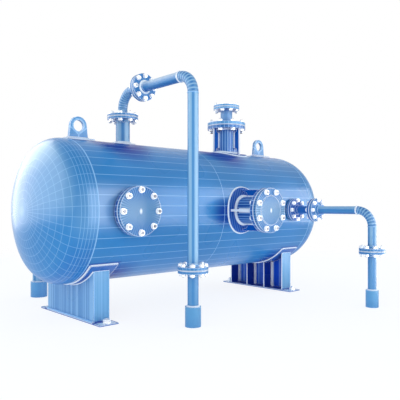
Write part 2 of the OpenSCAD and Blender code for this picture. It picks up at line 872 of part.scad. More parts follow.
shell_course_left();
shell_course_right();
head_left();
head_right();
lifting_lug_left();
lifting_lug_right();
saddle_left_base_plate();
saddle_left_web();
saddle_left_ribs();
saddle_left_wear_plate();
saddle_right_base_plate();
saddle_right_web();
saddle_right_ribs();
saddle_right_wear_plate();
manway_left_neck();
manway_left_cover();
manway_right_pad();
manway_right_neck();
manway_right_gussets();
manway_right_cover();
top_nozzle_pad();
top_nozzle_neck();
top_nozzle_gussets();
top_nozzle_reducer();
top_nozzle_blind();
inlet_pad();
inlet_neck();
inlet_elbow();
riser_bridge();
riser_elbow();
riser_drop();
riser_leg();
riser_foot();
outlet_neck();
outlet_spool();
outlet_run();
outlet_elbow();
outlet_drop();
outlet_leg();
outlet_foot();
drain_neck();
drain_bend();
drain_leg();
drain_foot();
gaskets();
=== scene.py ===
# %% [markdown]
# # A vapour condenser in blue enamel
#
# The packed model holds every steel part of the condenser at its real size: the shell
# and its heads, the saddles, the manways, the nozzles and the three pipe lines. This
# lesson dresses it. Each part gets a glossy blue enamel with fine pale ruled lines, and
# then come the small pieces that a fitter and a welder add: studs, nuts, washers, anchor
# bolts and weld beads. No steel part is moved or reshaped here.

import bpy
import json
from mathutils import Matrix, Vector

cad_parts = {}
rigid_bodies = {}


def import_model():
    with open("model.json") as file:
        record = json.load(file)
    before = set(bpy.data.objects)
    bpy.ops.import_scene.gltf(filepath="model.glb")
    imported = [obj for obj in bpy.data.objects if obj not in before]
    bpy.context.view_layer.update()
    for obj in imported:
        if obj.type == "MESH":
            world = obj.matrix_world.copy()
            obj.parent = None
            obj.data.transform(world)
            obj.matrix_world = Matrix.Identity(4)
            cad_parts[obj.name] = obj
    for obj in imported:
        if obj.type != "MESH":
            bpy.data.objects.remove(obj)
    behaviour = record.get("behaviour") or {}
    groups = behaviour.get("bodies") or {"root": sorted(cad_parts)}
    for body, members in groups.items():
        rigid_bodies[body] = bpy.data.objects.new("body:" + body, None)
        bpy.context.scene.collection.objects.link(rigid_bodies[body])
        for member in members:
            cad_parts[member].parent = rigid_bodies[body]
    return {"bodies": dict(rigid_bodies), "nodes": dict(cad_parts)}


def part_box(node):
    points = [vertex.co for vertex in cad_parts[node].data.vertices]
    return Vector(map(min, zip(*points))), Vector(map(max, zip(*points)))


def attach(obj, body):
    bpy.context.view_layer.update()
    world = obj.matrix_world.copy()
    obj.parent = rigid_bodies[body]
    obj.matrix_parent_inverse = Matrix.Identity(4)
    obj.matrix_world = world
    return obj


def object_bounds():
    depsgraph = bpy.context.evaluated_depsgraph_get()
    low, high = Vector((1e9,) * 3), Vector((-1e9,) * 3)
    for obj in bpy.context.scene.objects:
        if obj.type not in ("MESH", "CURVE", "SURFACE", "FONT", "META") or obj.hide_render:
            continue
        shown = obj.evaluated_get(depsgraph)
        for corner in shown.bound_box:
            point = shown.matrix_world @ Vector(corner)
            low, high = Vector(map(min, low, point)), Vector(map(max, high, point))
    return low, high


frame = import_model()
cad_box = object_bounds()

# %% [markdown]
# Everything is placed from the model itself. The shell's box gives the height of the
# vessel's axis and its radius, and those two numbers place most of what follows. The
# vessel lies along x, its front looks toward -y, and z is up.

# %% Measure the vessel
import json
import math
from types import SimpleNamespace

import bmesh
import bpy
from mathutils import Matrix, Vector

BODY = next(iter(frame["bodies"]))
shell_low, shell_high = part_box("shell_course_left")
axis_height = (shell_low.z + shell_high.z) / 2
shell_radius = (shell_high.z - shell_low.z) / 2
seam_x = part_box("shell_course_right")[1].x
head_skirt = 0.040
tangent_x = seam_x + head_skirt
print(f"axis at {axis_height:.3f} m, shell radius {shell_radius:.3f} m, tangent at {tangent_x:.3f} m")

# %% [markdown]
# ## The camera
#
# The vessel is seen from its left end, level, at the height of its axis, so the long
# lines run to the right and the uprights stay upright. A small shift of the lens keeps
# the feet in the frame without tilting the camera.

# %% Set the camera
camera_data = bpy.data.cameras.new("camera")
camera_data.lens = 45.9
camera_data.shift_y = 0.01375
camera = bpy.data.objects.new("camera", camera_data)
camera.location = (-4.418, -5.188, 1.239)
camera.rotation_euler = (math.radians(90), 0, math.radians(-42.4))
bpy.context.scene.collection.objects.link(camera)
bpy.context.scene.camera = camera
bpy.context.scene.view_settings.view_transform = "Standard"
print("camera", tuple(round(v, 3) for v in camera.location))

# %% [markdown]
# ## Nodes, written short
#
# A finish is a small network of shader nodes. Writing each node and link out in full
# hides the idea, so three small classes give short names to the few steps that every
# finish here uses. The first adds a node, feeds a socket and mixes colours or shaders.

# %% A short way to write nodes
class Nodes:
    """Short names for building a tree of shader nodes."""

    def __init__(self, tree):
        self.tree = tree

    def add(self, kind, **settings):
        node = self.tree.nodes.new(kind)
        for key, value in settings.items():
            setattr(node, key, value)
        return node

    def feed(self, socket, value):
        """Links an output to the socket, or sets a plain value on it."""
        if isinstance(value, bpy.types.NodeSocket):
            self.tree.links.new(value, socket)
        else:
            socket.default_value = value

    def feed_all(self, sockets, values):
        for socket, value in zip(sockets, values):
            self.feed(socket, value)

    def mix(self, factor, first, second):
        """Mixes two colours."""
        node = self.add("ShaderNodeMix", data_type="RGBA")
        self.feed_all((node.inputs[0], node.inputs[6], node.inputs[7]), (factor, first, second))
        return node.outputs[2]

    def plain(self, kind, **values):
        """A plain shader with its sockets set to the values."""
        node = self.add(kind)
        for name, value in values.items():
            node.inputs[name].default_value = value
        return node.outputs[0]

    def both(self, first, second):
        """Adds two shaders."""
        node = self.add("ShaderNodeAddShader")
        self.feed_all(node.inputs, (first, second))
        return node.outputs[0]

    def blend(self, factor, first, second):
        """Mixes two shaders."""
        node = self.add("ShaderNodeMixShader")
        self.feed_all(node.inputs, (factor, first, second))
        return node.outputs[0]


print("steps:", *[name for name in vars(Nodes) if not name.startswith("_")])

# %% [markdown]
# The sums come next. Shader nodes know no plus sign, so each sum is a node that numbers
# or other nodes' outputs are fed into, and it is worked out again at every point of the
# surface. A smooth ramp is the most useful of them: it turns a distance into a mask with
# a soft border.

# %% Sums
class Sums(Nodes):
    """Nodes, with sums on numbers."""

    def sum(self, operation, *values):
        node = self.add("ShaderNodeMath", operation=operation)
        self.feed_all(node.inputs, values)
        return node.outputs[0]

    def plus(self, first, second):
        return self.sum("ADD", first, second)

    def minus(self, first, second):
        return self.sum("SUBTRACT", first, second)

    def times(self, first, second):
        return self.sum("MULTIPLY", first, second)

    def over(self, first, second):
        return self.sum("DIVIDE", first, second)

    def larger(self, first, second):
        return self.sum("MAXIMUM", first, second)

    def turn(self, up, across):
        """The angle round a point, from the way across toward the way up."""
        return self.sum("ARCTAN2", up, across)

    def far(self, value):
        """How far the value is from 0, on either side."""
        return self.sum("ABSOLUTE", value)

    def off(self, value, middle):
        """How far the value is from middle, on either side."""
        return self.far(self.minus(value, middle))

    def under(self, value, limit):
        """1 where the value is under the limit, 0 elsewhere."""
        return self.sum("LESS_THAN", value, limit)

    def past(self, value, limit):
        """1 where the value is past the limit, 0 elsewhere."""
        return self.sum("GREATER_THAN", value, limit)

    def ramp(self, value, low, high, to_low=0.0, to_high=1.0):
        """A smooth step: to_low where the value is low, to_high where it is high."""
        node = self.add("ShaderNodeMapRange", interpolation_type="SMOOTHSTEP")
        self.feed_all(node.inputs, (value, low, high, to_low, to_high))
        return node.outputs[0]

    def pick(self, switch, off, on):
        """The number off where switch is 0, on where it is 1."""
        node = self.add("ShaderNodeMix", data_type="FLOAT")
        self.feed_all((node.inputs[0], node.inputs[2], node.inputs[3]), (switch, off, on))
        return node.outputs[0]


print("sums:", *[name for name in vars(Sums) if not name.startswith("_")])

# %% [markdown]
# A finish is then such a tree with a principled shader at its end. It also has the three
# coordinates of the point that is being shaded. Every part's origin is the vessel's own,
# so a coordinate means the same on every part, and a mask can be worked out in metres.

# %% A finish
class Finish(Sums):
    """One material, with its principled shader and the coordinates of a point."""

    def __init__(self, name):
        self.material = bpy.data.materials.new(name)
        self.material.use_nodes = True
        super().__init__(self.material.node_tree)
        self.shader = self.tree.nodes["Principled BSDF"]
        self.place = self.add("ShaderNodeTexCoord").outputs["Object"]
        split = self.add("ShaderNodeSeparateXYZ")
        self.feed(split.inputs[0], self.place)
        self.x, self.y, self.z = split.outputs

    def noise(self, scale, detail=2.0, place=None):
        node = self.add("ShaderNodeTexNoise")
        self.feed(node.inputs["Vector"], place or self.place)
        self.feed(node.inputs["Scale"], scale)
        self.feed(node.inputs["Detail"], detail)
        return node.outputs[0]

    def set(self, **values):
        """Sets plain numbers on the shader's own sockets."""
        for name, value in values.items():
            socket = name.replace("_", " ").title().replace("Ior", "IOR")
            self.shader.inputs[socket].default_value = value


def srgb(red, green, blue):
    """A colour as a paint card gives it, 0 to 255, turned into light."""
    light = []
    for value in (red, green, blue):
        share = value / 255
        light.append(share / 12.92 if share <= 0.04045 else ((share + 0.055) / 1.055) ** 2.4)
    return (*light, 1.0)


print("a mid blue, as light:", [round(v, 3) for v in srgb(44, 128, 192)[:3]])

# %% [markdown]
# ## Blue enamel
#
# The steel is painted with a gloss enamel. Under even light it is one blue, but three
# things keep it from looking flat: the film varies a little from place to place, painted
# shade turns it navy in corners that light hardly reaches, and it is rubbed pale along
# sharp edges. The painted corner shade comes from an ambient occlusion node, which
# measures how much of the sky a point sees. The edges come from a bevel node: near a sharp
# edge its rounded normal leans away from the real one, and how far it leans is the wear.

# %% Worn edges and deep corners
LEAN_FROM, LEAN_TO = 0.001, 0.03


def worn_edges(f, reach):
    """1 along sharp edges, out to about reach metres, and 0 on flat ground."""
    bevel = f.add("ShaderNodeBevel", samples=4)
    f.feed(bevel.inputs["Radius"], reach)
    lean = f.add("ShaderNodeVectorMath", operation="DOT_PRODUCT")
    f.feed(lean.inputs[0], bevel.outputs[0])
    f.feed(lean.inputs[1], f.add("ShaderNodeNewGeometry").outputs["Normal"])
    return f.ramp(f.minus(1.0, lean.outputs["Value"]), LEAN_FROM, LEAN_TO)


def recess(f, reach, dark_at=0.25, clear_at=0.8):
    """Painted shade in corners: 1 deep in a corner and 0 in the open."""
    shade = f.add("ShaderNodeAmbientOcclusion", samples=6)
    f.feed(shade.inputs["Distance"], reach)
    f.feed(shade.inputs["Normal"], f.add("ShaderNodeNewGeometry").outputs["True Normal"])
    return f.ramp(shade.outputs["AO"], dark_at, clear_at, 1.0, 0.0)


print("an edge counts as worn where its normal leans past", LEAN_FROM)

# %% [markdown]
# Masks painted by hand would do all this too, but they need every part unwrapped.
# Here each layer is a mask worked out from where a point lies, and the layers are mixed
# in a fixed order: the film, the zones of painted shade, the painted shade in corners,
# the worn edges, the ruled lines, and last the painted highlights. The gloss varies in
# wide patches, and a fine bump gives the orange peel of sprayed paint.

# %% Enamel
# PALE colours worn edges and painted highlights, NAVY painted shade in corners, and DEEP painted shade in
# the zones that a finish picks.
PALE = srgb(236, 243, 251)
LINE_PALE = srgb(158, 208, 246)
NAVY = srgb(0, 48, 150)
DEEP = srgb(20, 88, 176)
CLOUD, GRAIN, GLOSS_PATCH, PEEL = 1.3, 24.0, 2.6, 160.0


def enamel(name, colour, lines=None, line_strength=0.6, line_colour=LINE_PALE,
           edge=0.008, edge_strength=0.85, depth=0.9, reach=0.3, dark_at=0.25, clear_at=0.8, navy=NAVY,
           shade=None, deep=DEEP, bright=None, bright_colour=PALE,
           roughness=0.3, coat=0.1, gloss=0.25, deep_gloss=None):
    """Glossy paint.

    lines, shade and bright are functions of the finish that give a mask: where the ruled
    lines lie, where painted shade turns the paint toward deep, and where a painted highlight
    turns it toward bright_colour. edge is the width of the worn edges, depth the strength of
    the painted shade in corners, navy its colour, and reach how far it goes. deep_gloss is
    the gloss in the zones of painted shade that shade picks, where it differs.
    """
    f = Finish(name)
    cloud = f.ramp(f.noise(CLOUD, 0.0), 0.3, 0.7)
    grain = f.ramp(f.noise(GRAIN, 2.0), 0.1, 0.9)
    lighter = tuple(min(1.0, v * 1.07) for v in colour[:3]) + (1.0,)
    darker = tuple(v * 0.93 for v in colour[:3]) + (1.0,)
    film = f.sum("MULTIPLY_ADD", grain, 0.2, f.times(cloud, 0.8))
    paint = f.mix(film, darker, lighter)
    # painted shade in the zones that shade picks
    if shade:
        shaded = shade(f)
        paint = f.mix(shaded, paint, deep)
    # painted shade in corners
    paint = f.mix(f.times(recess(f, reach, dark_at, clear_at), depth), paint, navy)
    paint = f.mix(f.times(worn_edges(f, edge), edge_strength), paint, PALE)
    if lines:
        paint = f.mix(f.times(lines(f), line_strength), paint, line_colour)
    # painted highlights
    if bright:
        paint = f.mix(bright(f), paint, bright_colour)
    f.feed(f.shader.inputs["Base Color"], paint)
    patches = f.ramp(f.noise(GLOSS_PATCH, 0.0), 0.3, 0.7, roughness - 0.03, roughness + 0.04)
    f.feed(f.shader.inputs["Roughness"], patches)
    peel = f.add("ShaderNodeBump")
    f.feed(peel.inputs["Height"], f.noise(PEEL, 1.0))
    f.feed(peel.inputs["Strength"], 0.12)
    f.feed(peel.inputs["Distance"], 0.0006)
    f.feed(f.shader.inputs["Normal"], peel.outputs[0])
    f.set(coat_weight=coat, coat_roughness=0.12, specular_ior_level=gloss)
    # less gloss where the painted shade lies
    if deep_gloss is not None:
        f.feed(f.shader.inputs["Specular IOR Level"], f.pick(shaded, gloss, deep_gloss))
        f.feed(f.shader.inputs["Coat Weight"], f.pick(shaded, coat, 0.0))
    return f.material


print("enamel runs from", [round(v, 3) for v in NAVY[:3]], "to", [round(v, 3) for v in PALE[:3]])

# %% [markdown]
# ## Ruled lines
#
# Fine pale lines run along the shell every eight degrees and on over the heads to
# their middle, and rings cross them on the heads. They are there for their looks, as
# paint and no geometry.
# Each line has the same width in metres wherever it lies, so the lines that meet in the
# middle of a head crowd together into a bright spot. A line pattern is a sum on the
# coordinates: how far a point is from the nearest line, compared with half a line's
# width. The ping-pong sum does the first half: it goes up and down like a saw, and is 0
# on every line.

# %% Sums that draw lines
LINE = 0.0055


def radius_of(f, across, up):
    return f.sum("SQRT", f.plus(f.times(across, across), f.times(up, up)))


def either(f, *masks):
    both = masks[0]
    for mask in masks[1:]:
        both = f.larger(both, mask)
    return both


def near(f, off, width=LINE):
    """1 where off, a distance or an angle, is under half the width."""
    return f.ramp(f.far(off), width * 0.3, width * 0.7, 1.0, 0.0)


def ruled(f, along, pitch, width=LINE):
    """Lines every pitch metres of the coordinate along."""
    return near(f, f.sum("PINGPONG", along, pitch / 2), width)


def from_spoke(f, across, up, count, first):
    """The angle to the nearest of count spokes. first shifts them, in steps."""
    step = 2 * math.pi / count
    return f.sum("PINGPONG", f.plus(f.turn(up, across), first * step), step / 2)


def fan(f, across, up, count, width=LINE, first=0.5):
    """Lines that radiate from the point where across and up are both 0."""
    off = from_spoke(f, across, up, count, first)
    return near(f, f.times(off, radius_of(f, across, up)), width)


print(f"a line is {LINE * 1000:.1f} mm wide")

# %% [markdown]
# ### Lines on the shell and the heads
#
# A head is a shallow crown with a tight knuckle round it, and its rings are spaced along
# the plate, as a tape laid over the head would give them. So the sum first finds how far
# a point lies from the tangent line along the plate: an arc on the knuckle, or the whole
# arc less the part near the pole on the crown. Close to the tangent line the rings are
# 35 mm apart, and further on 88 mm.

# %% Lines on the shell and the heads
SHELL_SPOKES = 45
CROWN_SHARE, KNUCKLE_SHARE = 0.9045, 0.1727
CLOSE_PITCH, WIDE_PITCH, WIDE_FROM = 0.035, 0.088, 0.14


def end_view(f):
    """The ways front and up from the vessel's axis, as seen from its end."""
    return f.times(f.y, -1.0), f.minus(f.z, axis_height)


def shell_lines(f):
    """Lines along the shell, and the girth marks at its seams."""
    front, up = end_view(f)
    girth = near(f, f.minus(f.far(f.x), seam_x - 0.004), 0.006)
    return either(f, fan(f, front, up, SHELL_SPOKES), girth)


def head_lines(f):
    """The shell's lines carried over the head, crossed by rings."""
    crown = CROWN_SHARE * 2 * shell_radius
    knuckle = KNUCKLE_SHARE * 2 * shell_radius
    knuckle_x = shell_radius - knuckle
    crown_back = math.sqrt((crown - knuckle) ** 2 - knuckle_x ** 2)
    bend = math.atan2(crown_back, knuckle_x)
    front, up = end_view(f)
    radius = radius_of(f, front, up)
    depth = f.minus(f.far(f.x), tangent_x)
    on_knuckle = f.times(f.turn(depth, f.minus(radius, knuckle_x)), knuckle)
    from_pole = f.times(f.sum("ARCSINE", f.over(radius, crown)), crown)
    whole = knuckle * bend + crown * (math.pi / 2 - bend)
    inner = f.under(radius, knuckle_x + knuckle * math.cos(bend))
    path = f.pick(inner, on_knuckle, f.minus(whole, from_pole))
    wide = f.times(ruled(f, f.minus(path, WIDE_FROM), WIDE_PITCH), f.past(path, WIDE_FROM - 0.02))
    close = f.times(ruled(f, path, CLOSE_PITCH), f.under(path, WIDE_FROM + 0.01))
    return either(f, fan(f, front, up, SHELL_SPOKES), wide, close)


print(SHELL_SPOKES, "lines along the shell, one every", 360 / SHELL_SPOKES, "degrees")

# %% [markdown]
# ### Lines on round parts
#
# The covers carry rays. Unlike the lines on the heads they narrow toward the middle, so
# they are compared by angle and not by distance. Necks and flanges carry lines along
# their axis, which show on a flange's rim as short ticks. Where two flanges meet, each
# has a bright lip, like a machined edge.

# %% Lines on round parts
RAYS, RAY_SHARE = 56, 0.5
NECK_LINES, NECK_LINE = 28, 0.010
LIP, LIP_LIGHT = 0.012, 0.8


def cover_lines(centre):
    """Rays on a round cover that faces the front."""
    step = 2 * math.pi / RAYS

    def lines(f):
        off = from_spoke(f, f.minus(f.x, centre.x), f.minus(f.z, centre.z), RAYS, 0.0)
        return near(f, off, RAY_SHARE * step)

    return lines


def round_lines(centre, axis):
    """Lines along a round part whose axis runs along x, y or z."""
    first, second = [way for way in range(3) if way != axis]

    def lines(f):
        ways = (f.x, f.y, f.z)
        across = f.minus(ways[first], centre[first])
        up = f.minus(ways[second], centre[second])
        return fan(f, across, up, NECK_LINES, NECK_LINE, 0.0)

    return lines


def lip_at(way, *planes):
    """A bright lip on each flange where two of them meet, at planes across x, y or z."""

    def mask(f):
        place = (f.x, f.y, f.z)
        lips = [near(f, f.minus(place[way], plane), LIP) for plane in planes]
        return f.times(either(f, *lips), LIP_LIGHT)

    return mask


print(RAYS, "rays on a cover,", f"{LIP * 1000:.0f} mm lips on the flanges")

# %% [markdown]
# ## Putting a finish on a part
#
# The model's objects keep their meshes. All that changes is what sits in their material
# slots. Each family of parts has its own blue: the shell is the strongest, the pipes and
# plates are lighter, and the covers start darker because their pale rays lighten them.

# %% Paint, and the blues
SHELL_BLUE = srgb(44, 128, 192)
PIPE_BLUE = srgb(72, 138, 194)
PLATE_BLUE = srgb(98, 162, 210)
COVER_BLUE = srgb(38, 104, 154)
# NECK_BLUE is darker as painted shade under the covers
NECK_BLUE = srgb(30, 92, 168)
WEAR_BLUE = srgb(50, 108, 186)


def paint(material, *names):
    for name in names:
        for slot in frame["nodes"][name].material_slots:
            slot.material = material


def centre_of(name):
    low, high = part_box(name)
    return (low + high) / 2


print("slots to fill:", sum(len(node.material_slots) for node in frame["nodes"].values()))

# %% [markdown]
# ### Shell
#
# Painted shade makes the blue deep and takes away its gloss beside what is welded to the
# shell: the pads of the two top nozzles, the lifting lugs, the right manway and the
# saddles' wear plates. It stands for the shade and dark reflections that these parts throw
# on the shell. These zones are chosen for their looks, and a real shell's paint may have
# none of them. Each zone is a distance turned into a mask, measured on the shell as if it
# were unrolled: an angle round it, times its radius, is a distance in metres from its top
# or its front.

# %% Zones beside what is welded to the shell
WEAR_ANGLE = math.radians(45.6)
LUGS = ("lifting_lug_left", "lifting_lug_right")
# pad: how far the painted shade zone lies toward the left, how far it is full, where it ends
PAD_ZONES = {
    "top_nozzle_pad": (0.40, 0.28, 0.54),
    "inlet_pad": (0.22, 0.28, 0.54),
}
UNDER_REACH, LUG_ZONE, WEAR_ZONE = 0.42, (0.05, 0.22), 0.06
MANWAY_ZONE_LONG, MANWAY_ZONE_HIGH = 0.30, 0.24


def past_side(f, along, box):
    """How far a coordinate along x lies outside a box."""
    low, high = box
    return f.minus(f.off(along, (low.x + high.x) / 2), (high.x - low.x) / 2)


def by_pad(f, pad, from_top):
    """An oval zone by a top pad, longer round the shell than along it."""
    shift, full, end = PAD_ZONES[pad]
    along = f.minus(f.x, centre_of(pad).x - shift)
    return f.ramp(radius_of(f, along, f.times(from_top, 0.7)), full, end, 1.0, 0.0)


def by_lug(f, lug, from_top):
    """A border round a lug's pad."""
    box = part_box(lug)
    off = f.larger(past_side(f, f.x, box), f.minus(f.far(from_top), box[1].y))
    return f.ramp(off, *LUG_ZONE, 1.0, 0.0)


def by_manway(f, from_front):
    """An oval zone at the left edge of the right manway's pad."""
    along = f.over(f.minus(f.x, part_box("manway_right_pad")[0].x - 0.02), MANWAY_ZONE_LONG)
    round_it = f.over(f.plus(from_front, 0.03), MANWAY_ZONE_HIGH)
    return f.ramp(radius_of(f, along, round_it), 0.25, 1.0, 0.9, 0.0)


def by_saddles(f, from_foot):
    """The underside beside each saddle, toward the middle, and a border round its wear plate."""
    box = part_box("saddle_right_wear_plate")
    far, inner_x = f.far(f.x), box[0].x
    under = f.ramp(from_foot, 0.55, 0.95, 0.95, 0.0)
    inner = f.times(f.ramp(far, inner_x - UNDER_REACH, inner_x), under)
    past_end = f.times(f.minus(from_foot, WEAR_ANGLE), shell_radius)
    rim = f.larger(past_side(f, far, box), past_end)
    return f.larger(inner, f.ramp(rim, 0.0, WEAR_ZONE, 0.9, 0.0))


print("deep zones by", *PAD_ZONES, *LUGS)

# %% [markdown]
# All the zones together are one mask of painted shade. Between the left head and the left
# manway a painted highlight makes the blue a little paler instead, also for its looks.

# %% Paint the shell
def painted_shade_zones(f):
    """Where painted shade darkens the shell."""
    front, up = end_view(f)
    from_top = f.times(f.turn(f.y, up), shell_radius)
    from_front = f.times(f.turn(up, front), shell_radius)
    from_foot = f.far(f.turn(f.y, f.times(up, -1.0)))
    zones = [by_pad(f, pad, from_top) for pad in PAD_ZONES]
    zones += [by_lug(f, lug, from_top) for lug in LUGS]
    return either(f, *zones, by_manway(f, from_front), by_saddles(f, from_foot))


def end_light(f):
    """A painted highlight on the shell between the left head and the left manway."""
    level = f.ramp(f.off(f.z, axis_height + 0.05), 0.1, 0.32, 1.0, 0.0)
    return f.times(level, f.ramp(f.x, 0.2 - seam_x, 0.8 - seam_x, 0.12, 0.0))


# painted shade with less gloss in the zones, and a painted highlight by the left head
shell_finish = enamel("enamel_shell", SHELL_BLUE, shell_lines, 0.72, depth=0.6, dark_at=0.2, clear_at=0.7,
                      shade=painted_shade_zones, deep=srgb(16, 58, 154), deep_gloss=0.1, bright=end_light)
paint(shell_finish, "shell_course_left", "shell_course_right")
print("shell:", len(shell_finish.node_tree.nodes), "nodes in its finish")

# %% [markdown]
# ### Heads
#
# The heads carry painted light: a painted highlight makes the crown palest toward its
# top and its middle a little paler toward the front, and painted shade makes the low
# knuckle a deeper blue. Both masks start from the distance to the vessel's axis, because
# a head is round.

# %% Paint the heads
# Each pair says between which distances from the axis a mask fades.
CROWN_RIM = (shell_radius - 0.11, shell_radius - 0.01)
KNUCKLE = (shell_radius - 0.16, shell_radius - 0.01)
FRONT_KNUCKLE = (shell_radius - 0.18, shell_radius - 0.02)


def crown_light(f):
    """A painted highlight on the upper crown of a head, and a touch of it on the front knuckle."""
    front, up = end_view(f)
    on_crown = f.ramp(radius_of(f, front, up), *CROWN_RIM, 1.0, 0.0)
    middle = f.times(f.ramp(up, -0.2, 0.14), f.ramp(front, -0.2, 0.5, 0.04, 0.17))
    top = f.times(f.ramp(up, 0.2, 0.75, 0.0, 0.7), f.ramp(front, -0.1, 0.5, 1.0, 0.4))
    knuckle = f.times(f.ramp(front, *FRONT_KNUCKLE, 0.0, 0.10), f.ramp(f.far(up), 0.1, 0.4, 1.0, 0.0))
    return f.larger(f.times(on_crown, f.larger(middle, top)), knuckle)


def low_rim(f):
    """Painted shade on the lower part of a head's knuckle."""
    front, up = end_view(f)
    on_knuckle = f.ramp(radius_of(f, front, up), *KNUCKLE, 0.0, 0.35)
    return f.times(on_knuckle, f.ramp(up, -0.55, -0.15, 1.0, 0.0))


# painted shade on the low knuckle and a painted highlight on the crown
head_finish = enamel("enamel_head", SHELL_BLUE, head_lines, 0.4, shade=low_rim,
                     bright=crown_light, bright_colour=srgb(206, 240, 250))
paint(head_finish, "head_left", "head_right")
print("heads:", len(head_finish.node_tree.nodes), "nodes in their finish")

# %% [markdown]
# ### Manways and top nozzle
#
# A manway is a short wide neck with a bolted cover. The cover's rays meet in a small
# bright spot, where the rays crowd together and a painted glint lies, and painted shade
# deepens the blue toward the cover's top, foot and rim. The spot is taller than it is
# wide, so the sum stretches what lies across before it takes the distance. The necks are
# painted a darker blue, as painted shade under the covers. The top nozzle is dressed the
# same way, about an upright axis.

# %% Paint the manways and the top nozzle
def rim_of(name):
    """Painted shade on the rim of a round cover that faces the front, and toward its top and foot, as a
    mask.
    """
    low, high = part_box(name)
    middle, radius = (low + high) / 2, (high.z - low.z) / 2

    def mask(f):
        across, up = f.minus(f.x, middle.x), f.minus(f.z, middle.z)
        edge = f.ramp(radius_of(f, across, up), radius - 0.003, radius - 0.001, 0.0, 0.7)
        return f.larger(edge, f.ramp(f.far(up), 0.03, 0.8 * radius, 0.0, 0.8))

    return mask


def hub_of(name):
    """The middle of a round cover, where the lines meet and a painted glint lies, and its lip, as a mask.
    """
    middle = centre_of(name)
    lip = lip_at(1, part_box(name)[1].y)

    def mask(f):
        across, up = f.times(f.minus(f.x, middle.x), 1.7), f.minus(f.z, middle.z)
        hub = f.ramp(radius_of(f, across, up), 0.008, 0.040, 0.9, 0.0)
        return f.larger(hub, lip(f))

    return mask


for side in ("left", "right"):
    cover, neck = f"manway_{side}_cover", f"manway_{side}_neck"
    # painted shade toward the cover's rim, top and foot, with less gloss there, and a painted glint at its
    # middle
    cover_finish = enamel(f"enamel_{cover}", COVER_BLUE, cover_lines(centre_of(cover)), 0.34, edge=0.014,
                          shade=rim_of(cover), deep=srgb(20, 98, 170), deep_gloss=0.1, bright=hub_of(cover))
    neck_finish = enamel(f"enamel_{neck}", NECK_BLUE, round_lines(centre_of(cover), 1), edge=0.012,
                         bright=lip_at(1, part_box(neck)[0].y))
    paint(cover_finish, cover)
    paint(neck_finish, neck)

top_lines = round_lines(centre_of("top_nozzle_neck"), 2)
top_lips = lip_at(2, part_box("top_nozzle_reducer")[0].z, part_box("top_nozzle_blind")[0].z)
paint(enamel("enamel_top_neck", srgb(42, 112, 184), top_lines, bright=top_lips), "top_nozzle_neck")
paint(enamel("enamel_top_reducer", srgb(90, 160, 216), top_lines, bright=top_lips),
      "top_nozzle_reducer", "top_nozzle_blind")

# %% [markdown]
# ### Pipe lines
#
# The riser, the outlet line and the drain line are alike: a leg rises from the floor,
# turns through a bend and runs level to the vessel. So one description serves all
# three. It says in which upright plane the line lies, how far its leg stands from the
# line's middle, how high it runs, and where its flanges meet. The riser comes down to
# the vessel through a second bend, which mirrors the first about the line's middle, and
# a sum that drops the sign takes both at once.
#
# The first function sorts every point of a line into its stretch. The masks after it
# then read like a list: what is pale, what is dark, and what is bright.

# %% Where a point lies on a pipe line
SIX_INCH, RISER, OUTLET = 0.084, 0.057, 0.051
RING_STEP = math.pi / 2 / 9
BANDS, BAND_WIDTH = 5, 0.74


def pipe_zones(f, line):
    """Coordinates on a pipe line, and a mask for each of its stretches."""
    side = f.minus(f.x, line.x)
    out = f.minus(f.off(f.y, line.middle), line.reach)
    up = f.minus(f.z, line.run_z)
    bend_out, bend_up = f.plus(out, line.bend), f.plus(up, line.bend)
    below, above = f.under(bend_up, 0.0), f.past(bend_up, 0.0)
    from_leg, from_run = radius_of(f, side, out), radius_of(f, side, up)
    turned = f.turn(bend_up, bend_out)
    return SimpleNamespace(
        side=side, out=out, up=up, turned=turned,
        round_bend=f.minus(radius_of(f, bend_out, bend_up), line.bend),
        from_ring=f.sum("PINGPONG", turned, RING_STEP / 2),
        leg=f.times(below, f.under(from_leg, line.pipe * 1.1)),
        neck=f.times(below, f.sum("COMPARE", from_leg, line.pipe * 1.45, line.pipe * 0.35)),
        leg_flange=f.times(below, f.past(from_leg, line.pipe * 1.8)),
        bend=f.times(above, f.past(bend_out, 0.0)),
        run=f.times(f.times(above, f.under(bend_out, 0.0)), f.under(from_run, line.pipe * 1.1)),
        off_run=f.times(above, f.past(from_run, line.pipe * 1.1)),
        run_flange=f.times(above, f.past(from_run, line.pipe * 1.8)),
    )


print("a ring every", round(math.degrees(RING_STEP)), "degrees of a bend")

# %% [markdown]
# Pale bands run along a pipe and widen on the neck of a flange, as if strips of tape had
# been laid along it. They are painted highlights, and so is the paler top of a level run,
# whose underside is darkened by painted shade, as are the flanges. Rings of the same
# paint go round the bends, with dark gaps between them that painted shade deepens toward
# the bend's top. All of it is read off the stretches, so a change to a line's place moves
# its bands too.

# %% What is pale, dark and bright on a pipe line
def bands(f, across, up, first=0.7):
    """Painted highlights: pale bands along a pipe, each a bit wider than the gap beside it."""
    return near(f, from_spoke(f, across, up, BANDS, first), BAND_WIDTH)


def pale_parts(line):
    """Painted highlights in bands along the pipe and on top of its run, and pale rings round its bends and
    ticks on the flanges of its leg.
    """

    def mask(f):
        at = pipe_zones(f, line)
        return either(
            f,
            f.times(at.leg, bands(f, at.side, at.out)),
            f.times(at.neck, bands(f, at.side, at.out, 1.2)),
            f.times(at.leg_flange, f.times(fan(f, at.side, at.out, 24, 0.010), 0.5)),
            f.times(at.run, f.ramp(at.up, 0.1 * line.pipe, 0.6 * line.pipe, 0.0, 0.9)),
            f.times(at.bend, f.ramp(at.from_ring, RING_STEP * 0.14, RING_STEP * 0.26, 1.0, 0.0)),
            f.times(at.bend, f.times(bands(f, at.side, at.round_bend), 0.3)),
        )

    return mask


